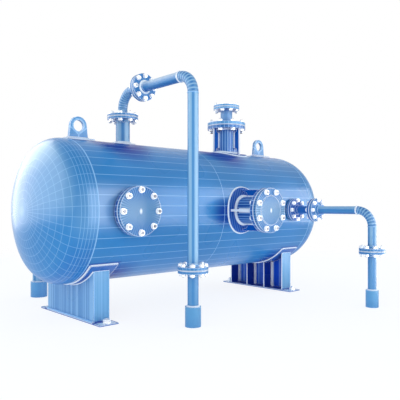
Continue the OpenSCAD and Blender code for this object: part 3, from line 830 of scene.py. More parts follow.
def dark_parts(line):
    """The dark gaps between the rings, deepened by painted shade toward the bend's top, and painted shade
    under the run and on the flanges.
    """

    def mask(f):
        at = pipe_zones(f, line)
        gaps = f.ramp(at.from_ring, RING_STEP * 0.24, RING_STEP * 0.32)
        gaps = f.times(gaps, f.ramp(at.turned, 0.0, 1.1, 0.15, 0.45))
        under = f.ramp(at.up, -0.9 * line.pipe, -0.2 * line.pipe, 0.4, 0.0)
        flanges = f.larger(f.times(at.leg_flange, 0.15), f.times(at.run_flange, 0.2))
        return either(f, f.times(at.bend, gaps), f.times(at.run, under), flanges)

    return mask


def bright_parts(line):
    """The lip of each flange at a joint, and a painted highlight on the top of the run."""

    def mask(f):
        at = pipe_zones(f, line)
        lips = [f.times(at.leg_flange, near(f, f.minus(f.z, joint), LIP)) for joint in line.leg_joints]
        lips += [f.times(at.off_run, near(f, f.minus(f.y, joint), LIP)) for joint in line.run_joints]
        top = f.ramp(at.up, -0.4 * line.pipe, 0.7 * line.pipe, 0.0, line.top_light)
        return f.larger(f.times(either(f, *lips), LIP_LIGHT), f.times(at.run, top))

    return mask


def pipe_finish(name, line, strength=0.66):
    """Paint for a pipe line. strength is that of its pale parts."""
    # deep is the colour of the painted shade, and bright adds the painted highlight on the run
    return enamel(name, PIPE_BLUE, pale_parts(line), strength, line_colour=srgb(160, 202, 228),
                  edge=0.010, depth=0.4, shade=dark_parts(line), deep=srgb(30, 72, 160),
                  bright=bright_parts(line), gloss=0.18, coat=0.06)


print(BANDS, "bands round a pipe, each", round(math.degrees(BAND_WIDTH)), "degrees wide")

# %% [markdown]
# Each line is now measured off its own parts. A bend's radius is how far its run lies
# over its lower end. The drain's bend is one part with its flanges, so its radius is
# given instead. The legs of the riser and the outlet line are a plainer blue, with
# fainter bands.

# %% Paint the pipe lines
riser_run, outlet_run = centre_of("riser_bridge"), centre_of("outlet_run")
riser_y, drain_leg = centre_of("riser_leg").y, centre_of("drain_leg")
riser_line = SimpleNamespace(
    x=riser_run.x, middle=riser_y / 2, reach=-riser_y / 2, run_z=riser_run.z, pipe=RISER,
    bend=riser_run.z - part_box("riser_elbow")[0].z, top_light=0.45,
    leg_joints=(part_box("inlet_elbow")[0].z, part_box("riser_leg")[1].z),
    run_joints=(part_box("riser_bridge")[1].y,),
)
outlet_line = SimpleNamespace(
    x=outlet_run.x, middle=0.0, reach=-centre_of("outlet_leg").y, run_z=outlet_run.z, pipe=OUTLET,
    bend=outlet_run.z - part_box("outlet_elbow")[0].z, top_light=0.0,
    leg_joints=(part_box("outlet_leg")[1].z,),
    run_joints=(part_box("outlet_spool")[1].y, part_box("outlet_spool")[0].y),
)
drain_line = SimpleNamespace(
    x=drain_leg.x, middle=0.0, reach=drain_leg.y, run_z=centre_of("drain_neck").z, pipe=SIX_INCH,
    bend=0.240, top_light=0.0,
    leg_joints=(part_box("drain_leg")[1].z,),
    run_joints=(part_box("drain_neck")[1].y,),
)
paint(pipe_finish("enamel_riser", riser_line),
      "inlet_neck", "inlet_elbow", "riser_bridge", "riser_elbow", "riser_drop")
paint(pipe_finish("enamel_riser_leg", riser_line, 0.15), "riser_leg")
paint(pipe_finish("enamel_outlet", outlet_line),
      "outlet_neck", "outlet_run", "outlet_elbow", "outlet_drop")
paint(pipe_finish("enamel_outlet_leg", outlet_line, 0.2), "outlet_leg")
paint(pipe_finish("enamel_drain", drain_line), "drain_neck", "drain_bend", "drain_leg")
print("bend radii:", [round(line.bend, 3) for line in (riser_line, outlet_line, drain_line)])

# %% [markdown]
# The spool is two flanges close together with hardly any pipe between them, so it has no
# bands. Only its lips are bright. The sockets in which the lines end at the floor are
# plain, with a fine worn edge.

# %% Paint the spool and the sockets
spool_lips = lip_at(1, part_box("outlet_spool")[0].y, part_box("outlet_spool")[1].y)
paint(enamel("enamel_spool", srgb(40, 104, 180), edge=0.012, depth=0.6, navy=srgb(0, 60, 160),
             coat=0.0, gloss=0.1, bright=spool_lips), "outlet_spool")
paint(enamel("enamel_feet", srgb(92, 157, 205), edge=0.006, depth=0.4), "riser_foot", "outlet_foot")
paint(enamel("enamel_back_foot", srgb(94, 160, 212), edge=0.006, depth=0.4), "drain_foot")

# %% [markdown]
# ### Saddles
#
# A saddle is a web on a base plate, stiffened by four ribs, with a wear plate between it
# and the shell. The ribs stand on the side toward the vessel's middle. The bays between
# them get little light, and painted shade makes them navy, with the ribs' narrow ends pale
# before them. The outer faces have upright streaks, such as a brush leaves. A noise that
# is fed only the level coordinates doesn't change with height, and so it draws them.
#
# The two saddles mirror each other, so the masks drop the sign of x and are measured on
# the right one.

# %% Masks for the saddles
web_low, web_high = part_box("saddle_right_web")
rib_low, rib_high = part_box("saddle_right_ribs")
base_low, base_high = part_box("saddle_right_base_plate")
SKIN = 0.001
MASKED_IN = 0.09


def brushed(f, scale, *ways):
    """Upright streaks of uneven width, from a noise over the given coordinates."""
    level = f.add("ShaderNodeCombineXYZ")
    for socket, way in zip(level.inputs, ways):
        f.feed(socket, way)
    return f.ramp(f.noise(scale, 1.0, level.outputs[0]), 0.46, 0.60)


def web_streaks(f):
    """Streaks on a web, and the pale border at its two ends."""
    border = f.ramp(f.far(f.y), web_high.y - MASKED_IN, web_high.y - MASKED_IN + 0.02)
    return f.larger(brushed(f, 30.0, f.x, f.y), border)


def rib_streaks(f):
    """Streaks on the outer face of the end ribs."""
    return f.times(brushed(f, 42.0, f.x), f.past(f.far(f.y), rib_high.y - SKIN))


def rib_bays(f):
    """The faces of the ribs that look into the bays between them, where painted shade goes."""
    return f.under(f.far(f.y), rib_high.y - SKIN)


def rib_tips(f):
    """The narrow end of each rib, away from the web."""
    return f.under(f.far(f.x), rib_low.x + SKIN)


def web_bays(f):
    """The face of a web that looks into the bays, where painted shade goes."""
    return f.under(f.far(f.x), web_low.x + SKIN)


print(f"the ribs stand out {web_low.x - rib_low.x:.3f} m from the web")

# %% [markdown]
# The base plate is nearly white on top, with a dark line along its foot and another
# along its border, as where two coats of paint meet at a masked edge. Inside the bays it
# carries painted shade, navy like the ribs, and a painted shadow lies beside its end ribs.

# %% Masks for the base plates
base_x = (base_low.x + base_high.x) / 2


def base_bays(f):
    """Painted shade on the floor of the bays on a base plate, and a painted shadow beside its end ribs."""
    across = f.under(f.far(f.y), rib_high.y - 0.014)
    along = f.times(f.past(f.far(f.x), rib_low.x), f.under(f.far(f.x), web_low.x))
    past_ribs = f.minus(f.far(f.y), rib_high.y)
    beside = f.times(f.ramp(past_ribs, 0.044, 0.060, 1.0, 0.0), f.past(past_ribs, 0.0))
    outer = f.ramp(f.far(f.x), base_x - 0.06, base_x, 0.0, 0.9)
    return f.larger(f.times(across, along), f.times(beside, outer))


def base_outline(f):
    """A dark line along the plate's foot, and one along its border on top."""
    from_middle = f.off(f.far(f.x), base_x)
    from_end = f.minus((base_high.x - base_low.x) / 2, from_middle)
    from_side = f.minus(base_high.y, f.far(f.y))
    border = f.ramp(f.sum("MINIMUM", from_end, from_side), 0.012, 0.018, 1.0, 0.0)
    on_top = f.past(f.z, base_high.z - 0.0005)
    return f.larger(f.times(border, on_top), f.ramp(f.z, 0.008, 0.010, 1.0, 0.0))


print(f"base plates are {base_high.x - base_low.x:.3f} by {base_high.y - base_low.y:.3f} m")

# %% [markdown]
# With the masks made, each part of a saddle gets its finish, and both saddles share it.
# The painted corner shade has a short reach here, because the bays already carry painted shade.

# %% Paint the saddles
# BAY_BLACK and BAY_NAVY are the colours of the painted shade in the bays
BAY_BLACK, BAY_NAVY = srgb(16, 54, 156), srgb(16, 88, 220)
saddle_finishes = {
    "ribs": enamel("enamel_ribs", PLATE_BLUE, rib_streaks, 0.3, depth=0.5, reach=0.06,
                   shade=rib_bays, deep=BAY_BLACK, bright=rib_tips),
    "web": enamel("enamel_web", srgb(76, 142, 199), web_streaks, 0.45, edge=0.006, depth=0.4, reach=0.12,
                  shade=web_bays, deep=BAY_NAVY),
    "wear_plate": enamel("enamel_wear", WEAR_BLUE, edge=0.014, reach=0.2, dark_at=0.4, clear_at=0.95),
    "base_plate": enamel("enamel_base", srgb(222, 238, 250), base_outline, 0.95,
                         line_colour=srgb(36, 92, 176), edge_strength=0.0, depth=0.4, reach=0.05,
                         dark_at=0.3, shade=base_bays, deep=BAY_BLACK),
}
for part, finish in saddle_finishes.items():
    paint(finish, f"saddle_left_{part}", f"saddle_right_{part}")
print("painted on each saddle:", *saddle_finishes)

# %% [markdown]
# ### Pads and gussets
#
# A pad is a ring of plate, rolled to the shell's radius, that makes up for the steel cut
# away under a neck. Gussets are plates on edge that tie the neck's flange to the pad.
# Both lie in the neck's shade, and painted shade makes them a dull deep blue with little
# gloss, but a gusset's narrow sides are bright, as bare ground edges would be. The mask
# finds those sides by the way they face: a gusset has two broad faces, and whatever
# doesn't face their way is an edge.

# %% Paint the pads and the gussets
def pad_lines(f):
    """Lines on the pads, 34 mm apart."""
    return ruled(f, f.x, 0.034, 0.010)


def gusset_edges(name, way):
    """Every narrow side of a node's gussets. Two lie along x and two along the given way."""
    middle = centre_of(name)

    def mask(f):
        place = (f.x, f.y, f.z)
        facing = f.add("ShaderNodeSeparateXYZ")
        f.feed(facing.inputs[0], f.add("ShaderNodeNewGeometry").outputs["True Normal"])
        along_x = f.past(f.off(f.x, middle.x), f.off(place[way], middle[way]))
        across = f.pick(along_x, facing.outputs[0], facing.outputs[way])
        return f.under(f.far(across), 0.9)

    return mask


PADS = [name for name in frame["nodes"] if name.endswith("_pad")]
# the pads' and gussets' dull deep blue and low gloss are painted shade
paint(enamel("enamel_pad", srgb(30, 84, 172), pad_lines, 0.3, edge=0.012, depth=0.95,
             roughness=0.5, coat=0.0, gloss=0.02), *PADS)
for name, way in (("manway_right_gussets", 2), ("top_nozzle_gussets", 1)):
    paint(enamel(f"enamel_{name}", srgb(12, 92, 182), edge=0.006, depth=0.4, reach=0.1,
                 bright=gusset_edges(name, way), roughness=0.5, coat=0.0, gloss=0.05), name)
print("painted the pads", *PADS, "and the gussets")

# %% [markdown]
# ### Lifting lugs
#
# A crane's shackle goes through the eye of a lug. Each lug carries pale lines like the
# shell's: a ring round the eye, a vee that falls from its flanks to a meeting point, and
# a line from there to the foot. A slanted line is a sum of two coordinates, each times
# its share of the slope.

# %% Paint the lugs
EYE_Z, EYE_RADIUS = axis_height + shell_radius + 0.160, 0.063
VEE_FOOT_Z, VEE_RISE, VEE_HALF = axis_height + shell_radius + 0.062, 0.085, 0.110


def lug_lines(name):
    """The ring, the vee and the upright line on a lug."""
    middle = centre_of(name)
    slant = math.hypot(VEE_RISE, VEE_HALF)

    def lines(f):
        side, up = f.off(f.x, middle.x), f.minus(f.z, VEE_FOOT_Z)
        off_vee = f.minus(f.times(side, VEE_RISE / slant), f.times(up, VEE_HALF / slant))
        vee = f.times(near(f, off_vee, 0.016), f.past(up, -0.01))
        upright = f.times(near(f, side, 0.018), f.under(up, 0.0))
        from_eye = radius_of(f, side, f.minus(f.z, EYE_Z))
        return either(f, vee, upright, near(f, f.minus(from_eye, EYE_RADIUS + 0.009), 0.018))

    return lines


for name in LUGS:
    paint(enamel(f"enamel_{name}", srgb(74, 147, 202), lug_lines(name), edge=0.01), name)
print(f"lug eyes {2 * EYE_RADIUS:.3f} m wide, at {EYE_Z:.3f} m")

# %% [markdown]
# ### Gaskets
#
# Gaskets are thin pale sheet between the flange faces. Such sheet is often pressed from
# fibre, so a fine noise makes it a little uneven.

# %% Gaskets
sheet = Finish("gasket_sheet")
fibre = sheet.mix(sheet.noise(60.0), srgb(236, 242, 250), srgb(250, 252, 255))
sheet.feed(sheet.shader.inputs["Base Color"], fibre)
sheet.set(roughness=0.6)
paint(sheet.material, "gaskets")
bare = [name for name, node in frame["nodes"].items() if not all(s.material for s in node.material_slots)]
print("painted", len(frame["nodes"]), "parts, left bare:", bare)

# %% [markdown]
# ## Studs and nuts
#
# A flange joint is clamped by studs with a heavy nut on each end. Where each joint lies
# could be typed in, but the gasket in it already tells: its middle is the joint's
# middle, its thin direction is the joint's axis, and the stud circle lies just outside
# it. All gaskets are one node, so the first step is to find the loose rings in its mesh.

# %% Find the gasket rings
X, Y, Z = Vector((1, 0, 0)), Vector((0, 1, 0)), Vector((0, 0, 1))


def loose_parts(mesh):
    """The corners of each part of a mesh that hangs together."""
    left = set(mesh.verts)
    while left:
        stack, corners = [left.pop()], []
        while stack:
            vert = stack.pop()
            corners.append(vert.co.copy())
            others = {edge.other_vert(vert) for edge in vert.link_edges} & left
            left -= others
            stack += others
        yield corners


def rings_in(name):
    """Middle, axis and radius of each loose ring in a node."""
    mesh = bmesh.new()
    mesh.from_mesh(frame["nodes"][name].data)
    bmesh.ops.remove_doubles(mesh, verts=mesh.verts, dist=1e-5)
    rings = []
    for corners in loose_parts(mesh):
        low = Vector([min(corner[way] for corner in corners) for way in range(3)])
        high = Vector([max(corner[way] for corner in corners) for way in range(3)])
        size = list(high - low)
        thin = size.index(min(size))
        rings.append(((low + high) / 2, (X, Y, Z)[thin], max(size) / 2))
    mesh.free()
    return rings


RINGS = rings_in("gaskets")

# %% [markdown]
# Each joint is then named by the two parts that it clamps, so that its ring can be
# found. The table also says what only a fitter knows: the size of its studs, how thick
# its flanges are, whether the studs straddle the centre line, and whether there is room
# for nuts at the back.

# %% Name the joints
LARGE_T, SMALL_T, SLACK = 0.046, 0.034, 0.006
SIX_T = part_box("top_nozzle_blind")[1].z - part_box("top_nozzle_blind")[0].z
# name: (part toward the vessel, part beyond it, stud size, flange thickness, turn, back nuts)
JOINTS = {
    "manway_left": ("manway_left_neck", "manway_left_cover", "large", LARGE_T, 0.0, "thin"),
    "manway_right": ("manway_right_neck", "manway_right_cover", "large", LARGE_T, 22.5, "full"),
    "top_nozzle": ("top_nozzle_neck", "top_nozzle_reducer", "large", LARGE_T, 22.5, "full"),
    "top_connection": ("top_nozzle_reducer", "top_nozzle_blind", "pipe", SIX_T, 22.5, "full"),
    "inlet": ("inlet_neck", "inlet_elbow", "pipe", SIX_T, 0.0, "full"),
    "riser_top": ("inlet_elbow", "riser_bridge", "pipe", SMALL_T, 0.0, "full"),
    "riser_low": ("riser_leg", "riser_drop", "pipe", SMALL_T, 0.0, "full"),
    "outlet": ("outlet_neck", "outlet_spool", "pipe", SMALL_T, 0.0, "none"),
    "outlet_spool": ("outlet_spool", "outlet_run", "pipe", SMALL_T, 0.0, "full"),
    "outlet_low": ("outlet_leg", "outlet_drop", "pipe", SMALL_T, 0.0, "full"),
    "drain": ("drain_neck", "drain_bend", "pipe", SIX_T, 0.0, "full"),
    "drain_low": ("drain_leg", "drain_bend", "pipe", SIX_T, 0.0, "full"),
}


def inside(point, box):
    """Whether a point lies in a box, or just outside it."""
    low, high = box
    return all(low[way] - SLACK <= point[way] <= high[way] + SLACK for way in range(3))


def joint_ring(first, second):
    """The gasket between two nodes, its axis turned to point from first to second."""
    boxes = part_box(first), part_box(second)
    for middle, axis, radius in RINGS:
        if all(inside(middle, box) for box in boxes):
            beyond = (sum(boxes[1], Vector()) / 2 - middle).dot(axis)
            return middle, axis if beyond > 0 else -axis, radius
    raise ValueError(f"no gasket between {first} and {second}")


JOINT_RINGS = {joint: joint_ring(*parts[:2]) for joint, parts in JOINTS.items()}
for joint, (middle, axis, radius) in JOINT_RINGS.items():
    print(f"{joint}: gasket {2 * radius:.3f} m wide, facing {tuple(round(v) for v in axis)}")

# %% [markdown]
# A heavy nut is a hexagon whose corners are turned down by a chamfer. Turned down means
# cut by a cone, so the chamfer's lower border is a curve on each flat. A six-sided prism
# with a bevel would get this wrong. Here each ring of the mesh follows the hexagon, and
# the cone sets its height. The stud's end stands out of the nut, with its own chamfer, a
# thread groove and a small centre hole.

# %% Rings and skins
# flat: across the nut's flats. height: of the nut. stud: its radius. washer, washer_t: the
# washer's radius and thickness. tip: how far the stud stands out. hole: the hole's radius.
SIZES = {
    "large": dict(flat=0.055, height=0.024, stud=0.018, washer=0.034, washer_t=0.006,
                  tip=0.008, hole=0.0195),
    "pipe": dict(flat=0.046, height=0.021, stud=0.015, washer=0.0275, washer_t=0.005,
                 tip=0.007, hole=0.0165),
    "anchor": dict(flat=0.070, height=0.034, stud=0.0195, washer=0.043, washer_t=0.008,
                   tip=0.010, hole=0.021),
}
AROUND = 24
ANGLES = [2 * math.pi * step / AROUND for step in range(AROUND)]


def ring(mesh, place, radii, heights):
    """A closed loop of vertices about place's Z, one for each of ANGLES."""
    loop = []
    for angle, radius, height in zip(ANGLES, radii, heights):
        corner = Vector((radius * math.cos(angle), radius * math.sin(angle), height))
        loop.append(mesh.verts.new(place @ corner))
    return loop


def skin(mesh, loops, material=0):
    """Faces between each loop and the next."""
    for first, second in zip(loops, loops[1:]):
        for step in range(AROUND):
            after = (step + 1) % AROUND
            face = mesh.faces.new((first[step], first[after], second[after], second[step]))
            face.material_index = material


def lathe(mesh, place, profile, material=0):
    """A profile of radius and height turned about place's Z. Returns its last loop."""
    loops = [ring(mesh, place, [radius] * AROUND, [height] * AROUND) for radius, height in profile]
    skin(mesh, loops, material)
    return loops[-1]


print("stud sizes:", *SIZES)

# %% [markdown]
# A washer and a stud's end are turned shapes, so a lathe makes both from a profile of
# radius and height. Only the nut needs rings of its own, for its flats and shoulders.
# The thread is a row of grooves and no true helix, which nobody could tell at this size.

# %% Nut, washer and stud end
CONE_FROM, CONE_SLOPE = 0.94, math.tan(math.radians(30))
THREAD_PITCH, THREAD_DEPTH, WASHER_CHAMFER = 0.0035, 0.0016, 0.0008


def washer(mesh, place, bolt):
    """A washer with a small chamfer round its top."""
    rim, top = bolt["washer"], bolt["washer_t"]
    chamfer = [(rim, top - WASHER_CHAMFER), (rim - WASHER_CHAMFER, top)]
    lathe(mesh, place, [(rim, 0.0), *chamfer, (bolt["stud"], top)])


def hexagon(angle, flat):
    """Distance from the middle to the hexagon's side in a direction."""
    sector = math.pi / 3
    turned = (angle + sector / 2) % sector - sector / 2
    return flat / 2 / math.cos(turned)


def nut(mesh, place, bolt, base, top):
    """A hexagon nut from base to top, its corners cut by a cone."""
    sides = [hexagon(angle, bolt["flat"]) for angle in ANGLES]
    cone_start = bolt["flat"] / 2 * CONE_FROM
    shoulders = [top - max(0.0, side - cone_start) * CONE_SLOPE for side in sides]
    flats = [ring(mesh, place, sides, [base] * AROUND), ring(mesh, place, sides, shoulders)]
    crown = ring(mesh, place, [cone_start] * AROUND, [top] * AROUND)
    bore = ring(mesh, place, [bolt["stud"] + 0.001] * AROUND, [top] * AROUND)
    skin(mesh, [*flats, crown, bore])


def stud_end(mesh, place, bolt, base):
    """The threaded end of a stud that stands out over base."""
    stud, end = bolt["stud"], base + bolt["tip"]
    profile = [(stud, base - 0.002)]
    height = base
    while height + THREAD_PITCH < end - 0.001:
        profile += [(stud, height), (stud - THREAD_DEPTH, height + THREAD_PITCH / 2)]
        height += THREAD_PITCH
    profile += [(stud, end - 0.002), (stud - 0.002, end), (stud * 0.3, end), (stud * 0.12, end - 0.003)]
    mesh.faces.new(lathe(mesh, place, profile, 1)).material_index = 1


def fastener(mesh, place, size, height=None, on_washer=True):
    """A washer, a nut and a stud's end, standing on place along its Z."""
    bolt = SIZES[size]
    base = 0.0
    if on_washer:
        washer(mesh, place, bolt)
        base = bolt["washer_t"]
    top = base + (height or bolt["height"])
    nut(mesh, place, bolt, base, top)
    stud_end(mesh, place, bolt, top)


print(f"threads every {THREAD_PITCH * 1000:.1f} mm")

# %% [markdown]
# Zinc-plated steel is bright and a little cloudy. The stud ends on the three large joints
# are a darker grey.

# %% Zinc
def zinc(name, bright, dull, roughness, metal):
    f = Finish(name)
    f.feed(f.shader.inputs["Base Color"], f.mix(f.ramp(f.noise(70.0), 0.35, 0.7), bright, dull))
    cloudy = f.ramp(f.noise(45.0), 0.3, 0.7, roughness - 0.06, roughness + 0.08)
    f.feed(f.shader.inputs["Roughness"], cloudy)
    f.set(metallic=metal)
    return f.material


nut_zinc = zinc("zinc_nut", srgb(252, 252, 252), srgb(240, 243, 247), 0.35, 0.3)
stud_zinc = zinc("zinc_stud", srgb(122, 124, 134), srgb(84, 88, 98), 0.4, 0.75)
new_stud = zinc("zinc_stud_new", srgb(226, 230, 236), srgb(196, 202, 212), 0.4, 0.4)
print("zinc:", nut_zinc.name, stud_zinc.name, new_stud.name)

# %% [markdown]
# All the studs of a joint become one piece that rides on the vessel, so that a joint can
# be hidden or changed as a whole.

# %% Bolt every joint
STUDS_PER_JOINT = 8
GASKET_T = 0.003


def finish_piece(name, mesh, materials):
    """Turns a bmesh into a piece that rides on the vessel."""
    data = bpy.data.meshes.new(name)
    mesh.normal_update()
    mesh.to_mesh(data)
    mesh.free()
    for material in materials:
        data.materials.append(material)
    piece = bpy.data.objects.new(name, data)
    bpy.context.scene.collection.objects.link(piece)
    data.shade_smooth()
    data.set_sharp_from_angle(angle=math.radians(30))
    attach(piece, BODY)
    print(f"{name}: {len(data.polygons)} faces")


def standing(middle, up, across):
    """A place at middle with its Z along up and its X along across."""
    turn = Matrix((across, up.cross(across), up)).transposed().to_4x4()
    return Matrix.Translation(middle) @ turn


for joint, (_, _, size, plate, turn, back) in JOINTS.items():
    middle, axis, gasket_radius = JOINT_RINGS[joint]
    circle = gasket_radius + SIZES[size]["hole"] + GASKET_T
    face = axis * (plate + GASKET_T / 2)
    mesh = bmesh.new()
    for step in range(STUDS_PER_JOINT):
        angle = math.radians(turn) + 2 * math.pi * step / STUDS_PER_JOINT
        spoke = X * math.cos(angle) + axis.cross(X) * math.sin(angle)
        stud = middle + spoke * circle
        fastener(mesh, standing(stud + face, axis, spoke), size)
        if back == "full":
            fastener(mesh, standing(stud - face, -axis, spoke), size)
        elif back == "thin":
            fastener(mesh, standing(stud - face, -axis, spoke), size, height=0.016, on_washer=False)
    finish_piece(f"studs_{joint}", mesh, [nut_zinc, stud_zinc if size == "large" else new_stud])

# %% [markdown]
# Anchor bolts hold the base plates to the floor. They are the same washer, nut and stud
# end, only larger, one near each end of a plate.

# %% Anchor bolts
ANCHOR_Y = 0.624
mesh = bmesh.new()
for side in ("left", "right"):
    plate = centre_of(f"saddle_{side}_base_plate")
    for y in (-ANCHOR_Y, ANCHOR_Y):
        fastener(mesh, standing(Vector((plate.x, y, base_high.z)), Z, X), "anchor")
finish_piece("anchor_bolts", mesh, [nut_zinc, new_stud])

# %% [markdown]
# ## Weld beads
#
# Welders join the plates with fillets, in the corner between two plates, and with butt
# beads, along a seam. A curve with a bevel would draw a bead too, but it would be the
# same all along and round on every side. Here a bead is a small rounded section swept
# along a path, and every other step of the path swells a little, which gives the
# ripples that the arc leaves behind. A path is a list of a corner and the two ways that
# the bead spreads from it.

# %% Sweep a bead
SWELL = 1.12
ARC_CORNERS = 6


def bead(mesh, path, legs, closed=True, butt=False, material=0):
    """Sweeps a bead along path. Its legs are its reach along the two ways."""
    span = math.pi if butt else math.pi / 2
    loops = []
    for step, (corner, first, second) in enumerate(path):
        swell = SWELL if step % 2 else 1.0
        loop = []
        for turn in range(ARC_CORNERS):
            angle = span * turn / (ARC_CORNERS - 1)
            reach = first * (legs[0] * math.cos(angle)) + second * (legs[1] * math.sin(angle))
            loop.append(mesh.verts.new(corner + reach * swell))
        root = second * -0.001 if butt else (first + second) * -0.0006
        loop.append(mesh.verts.new(corner + root))
        loops.append(loop)
    pairs = list(zip(loops, loops[1:]))
    if closed:
        pairs.append((loops[-1], loops[0]))
    else:
        mesh.faces.new(loops[0])
        mesh.faces.new(reversed(loops[-1]))
    for before, after in pairs:
        for side in range(ARC_CORNERS + 1):
            over = (side + 1) % (ARC_CORNERS + 1)
            face = mesh.faces.new((before[side], after[side], after[over], before[over]))
            face.material_index = material


print(f"every other step of a bead swells to {SWELL:.2f} of its size")

# %% [markdown]
# Most beads are a circle round a pipe or a straight line. A path's steps are about a
# ripple long, and there is always an even number of them, so that a swell never meets a
# swell where a circle closes.

# %% Paths round and along
RIPPLE = 0.0035


def steps_in(length):
    """An even number of steps, so that the ripples close."""
    return 2 * max(8, round(length / RIPPLE / 2))


def round_path(middle, axis, radius, away=None):
    """A circle. The bead spreads from the axis, and along it unless away says otherwise."""
    side = axis.orthogonal().normalized()
    other = axis.cross(side)
    count = steps_in(2 * math.pi * radius)
    path = []
    for step in range(count):
        angle = 2 * math.pi * step / count
        spoke = side * math.cos(angle) + other * math.sin(angle)
        path.append((middle + spoke * radius, spoke, axis if away is None else away))
    return path


def butt_ring(mesh, middle, axis, radius, width, height, material=0):
    """A bead round a pipe or the shell, over a seam."""
    path = [(corner, axis, spoke) for corner, spoke, _ in round_path(middle, axis, radius)]
    bead(mesh, path, (width / 2, height), butt=True, material=material)


def fillet(mesh, start, end, first, second, legs, material=0, butt=False):
    """A straight bead from start to end."""
    count = steps_in((end - start).length)
    path = [(start.lerp(end, step / count), first, second) for step in range(count + 1)]
    bead(mesh, path, legs, closed=False, butt=butt, material=material)


print(f"a bead has a step every {RIPPLE * 1000:.1f} mm")

# %% [markdown]
# Two more paths follow the shell. Where a neck meets it, the corner is the curve in
# which a tube cuts a cylinder: for each point round the tube, the cylinder's own circle
# says how far out the shell lies there. Where a plate is rolled to the shell, its edge
# is an arc round the vessel's axis.

# %% Paths on the shell
AXIS_POINT = Vector((0, 0, axis_height))


def cope_path(middle, way, radius, surface):
    """Where a tube along way, of that radius, meets a cylinder round the vessel's axis."""
    across = X.cross(way)
    count = steps_in(2 * math.pi * radius)
    path = []
    for step in range(count):
        angle = 2 * math.pi * step / count
        spoke = X * math.cos(angle) + across * math.sin(angle)
        off = radius * math.sin(angle)
        arm = across * off + way * math.sqrt(surface ** 2 - off ** 2)
        normal = arm.normalized()
        along = (spoke - normal * spoke.dot(normal)).normalized()
        path.append((AXIS_POINT + X * (middle.x + radius * math.cos(angle)) + arm, along, way))
    return path


def arc_bead(mesh, x, surface, low, high, way, legs):
    """A bead on an arc round the axis at x, between two angles from straight down."""
    count = steps_in(surface * abs(high - low))
    path = []
    for step in range(count + 1):
        angle = low + (high - low) * step / count
        normal = Y * math.sin(angle) - Z * math.cos(angle)
        path.append((AXIS_POINT + X * x + normal * surface, way, normal))
    bead(mesh, path, legs, closed=False)


weld_finish = enamel("enamel_weld", srgb(232, 241, 252), edge_strength=0.0, depth=0.4, reach=0.02)
# a lit copy of the weld paint, for the beads inside the bays, free of painted corner shade
bright_weld = enamel("enamel_weld_bright", srgb(252, 253, 255), edge_strength=0.0, depth=0.0)
blue_weld = enamel("enamel_weld_blue", WEAR_BLUE, edge_strength=0.0, dark_at=0.4, clear_at=0.95)
seam_finish = enamel("enamel_seam", srgb(140, 190, 234), edge_strength=0.0, depth=0.4, reach=0.05)
print("weld finishes:", weld_finish.name, bright_weld.name, blue_weld.name, seam_finish.name)

# %% [markdown]
# The shell has three girth seams: a fine one between its two courses, and a wider one
# at each head. All three are butt beads, a fifth as high as they are wide.

# %% Weld the shell
mesh = bmesh.new()
for x, width in ((-seam_x, 0.010), (0.0, 0.006), (seam_x, 0.010)):
    butt_ring(mesh, AXIS_POINT + X * x, X, shell_radius, width, width / 5)
finish_piece("weld_shell_seams", mesh, [seam_finish])

# %% [markdown]
# Each neck has a bead where it comes out of the shell or its pad, and a pad has one of
# its own all round. The two gusseted necks have the most: one under the flange too, and
# two along each gusset, on the stretch between the arcs that relieve its corners.

# %% Weld the nozzles
PAD_OUT = shell_radius + 0.0124
PAD_RADIUS, INLET_PAD_RADIUS, NECK_RADIUS = 0.290, 0.140, 0.168
GUSSET_T, FOOT_RELIEF, HEAD_RELIEF, INTO_RELIEF = 0.030, 0.066, 0.058, 0.004


def weld_gussets(mesh, foot, way, under_flange):
    """Two beads along each of four gussets, between the reliefs at their corners."""
    out = math.sqrt(NECK_RADIUS ** 2 - GUSSET_T ** 2 / 4)
    for turn in range(4):
        angle = math.pi / 2 * turn
        spoke = X * math.cos(angle) + X.cross(way) * math.sin(angle)
        for side in (way.cross(spoke), -way.cross(spoke)):
            corner = foot + spoke * out + side * (GUSSET_T / 2)
            start = corner + way * (PAD_OUT + FOOT_RELIEF - INTO_RELIEF)
            end = corner + way * (under_flange - HEAD_RELIEF + INTO_RELIEF)
            fillet(mesh, start, end, spoke, side, (0.014, 0.011))


mesh = bmesh.new()
for name, way in (("manway_right_neck", -Y), ("top_nozzle_neck", Z)):
    middle = centre_of(name)
    bead(mesh, cope_path(middle, way, PAD_RADIUS, shell_radius), (0.011, 0.010))
    bead(mesh, cope_path(middle, way, NECK_RADIUS, PAD_OUT), (0.024, 0.022))
    foot = AXIS_POINT + X * middle.x
    under_flange = max((corner - foot).dot(way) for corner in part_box(name)) - LARGE_T
    flange_path = round_path(foot + way * under_flange, way, NECK_RADIUS, -way)
    bead(mesh, flange_path, (0.018, 0.016))
    weld_gussets(mesh, foot, way, under_flange)
# neck, the way it points, radius, what it stands on, legs
for name, way, radius, surface, legs in (
    ("inlet_neck", Z, INLET_PAD_RADIUS, shell_radius, (0.013, 0.012)),
    ("inlet_neck", Z, SIX_INCH, PAD_OUT, (0.018, 0.018)),
    ("manway_left_neck", -Y, NECK_RADIUS, shell_radius, (0.020, 0.016)),
    ("outlet_neck", -Y, OUTLET, shell_radius, (0.012, 0.010)),
    ("drain_neck", Y, SIX_INCH, shell_radius, (0.016, 0.014)),
):
    bead(mesh, cope_path(centre_of(name), way, radius, surface), legs)
finish_piece("weld_nozzles", mesh, [weld_finish])

# %% [markdown]
# The riser and the outlet line have a butt bead at each end of their bend, and all three
# lines have a fillet where the leg enters its socket. The riser has one more fillet,
# behind the flange of its run.

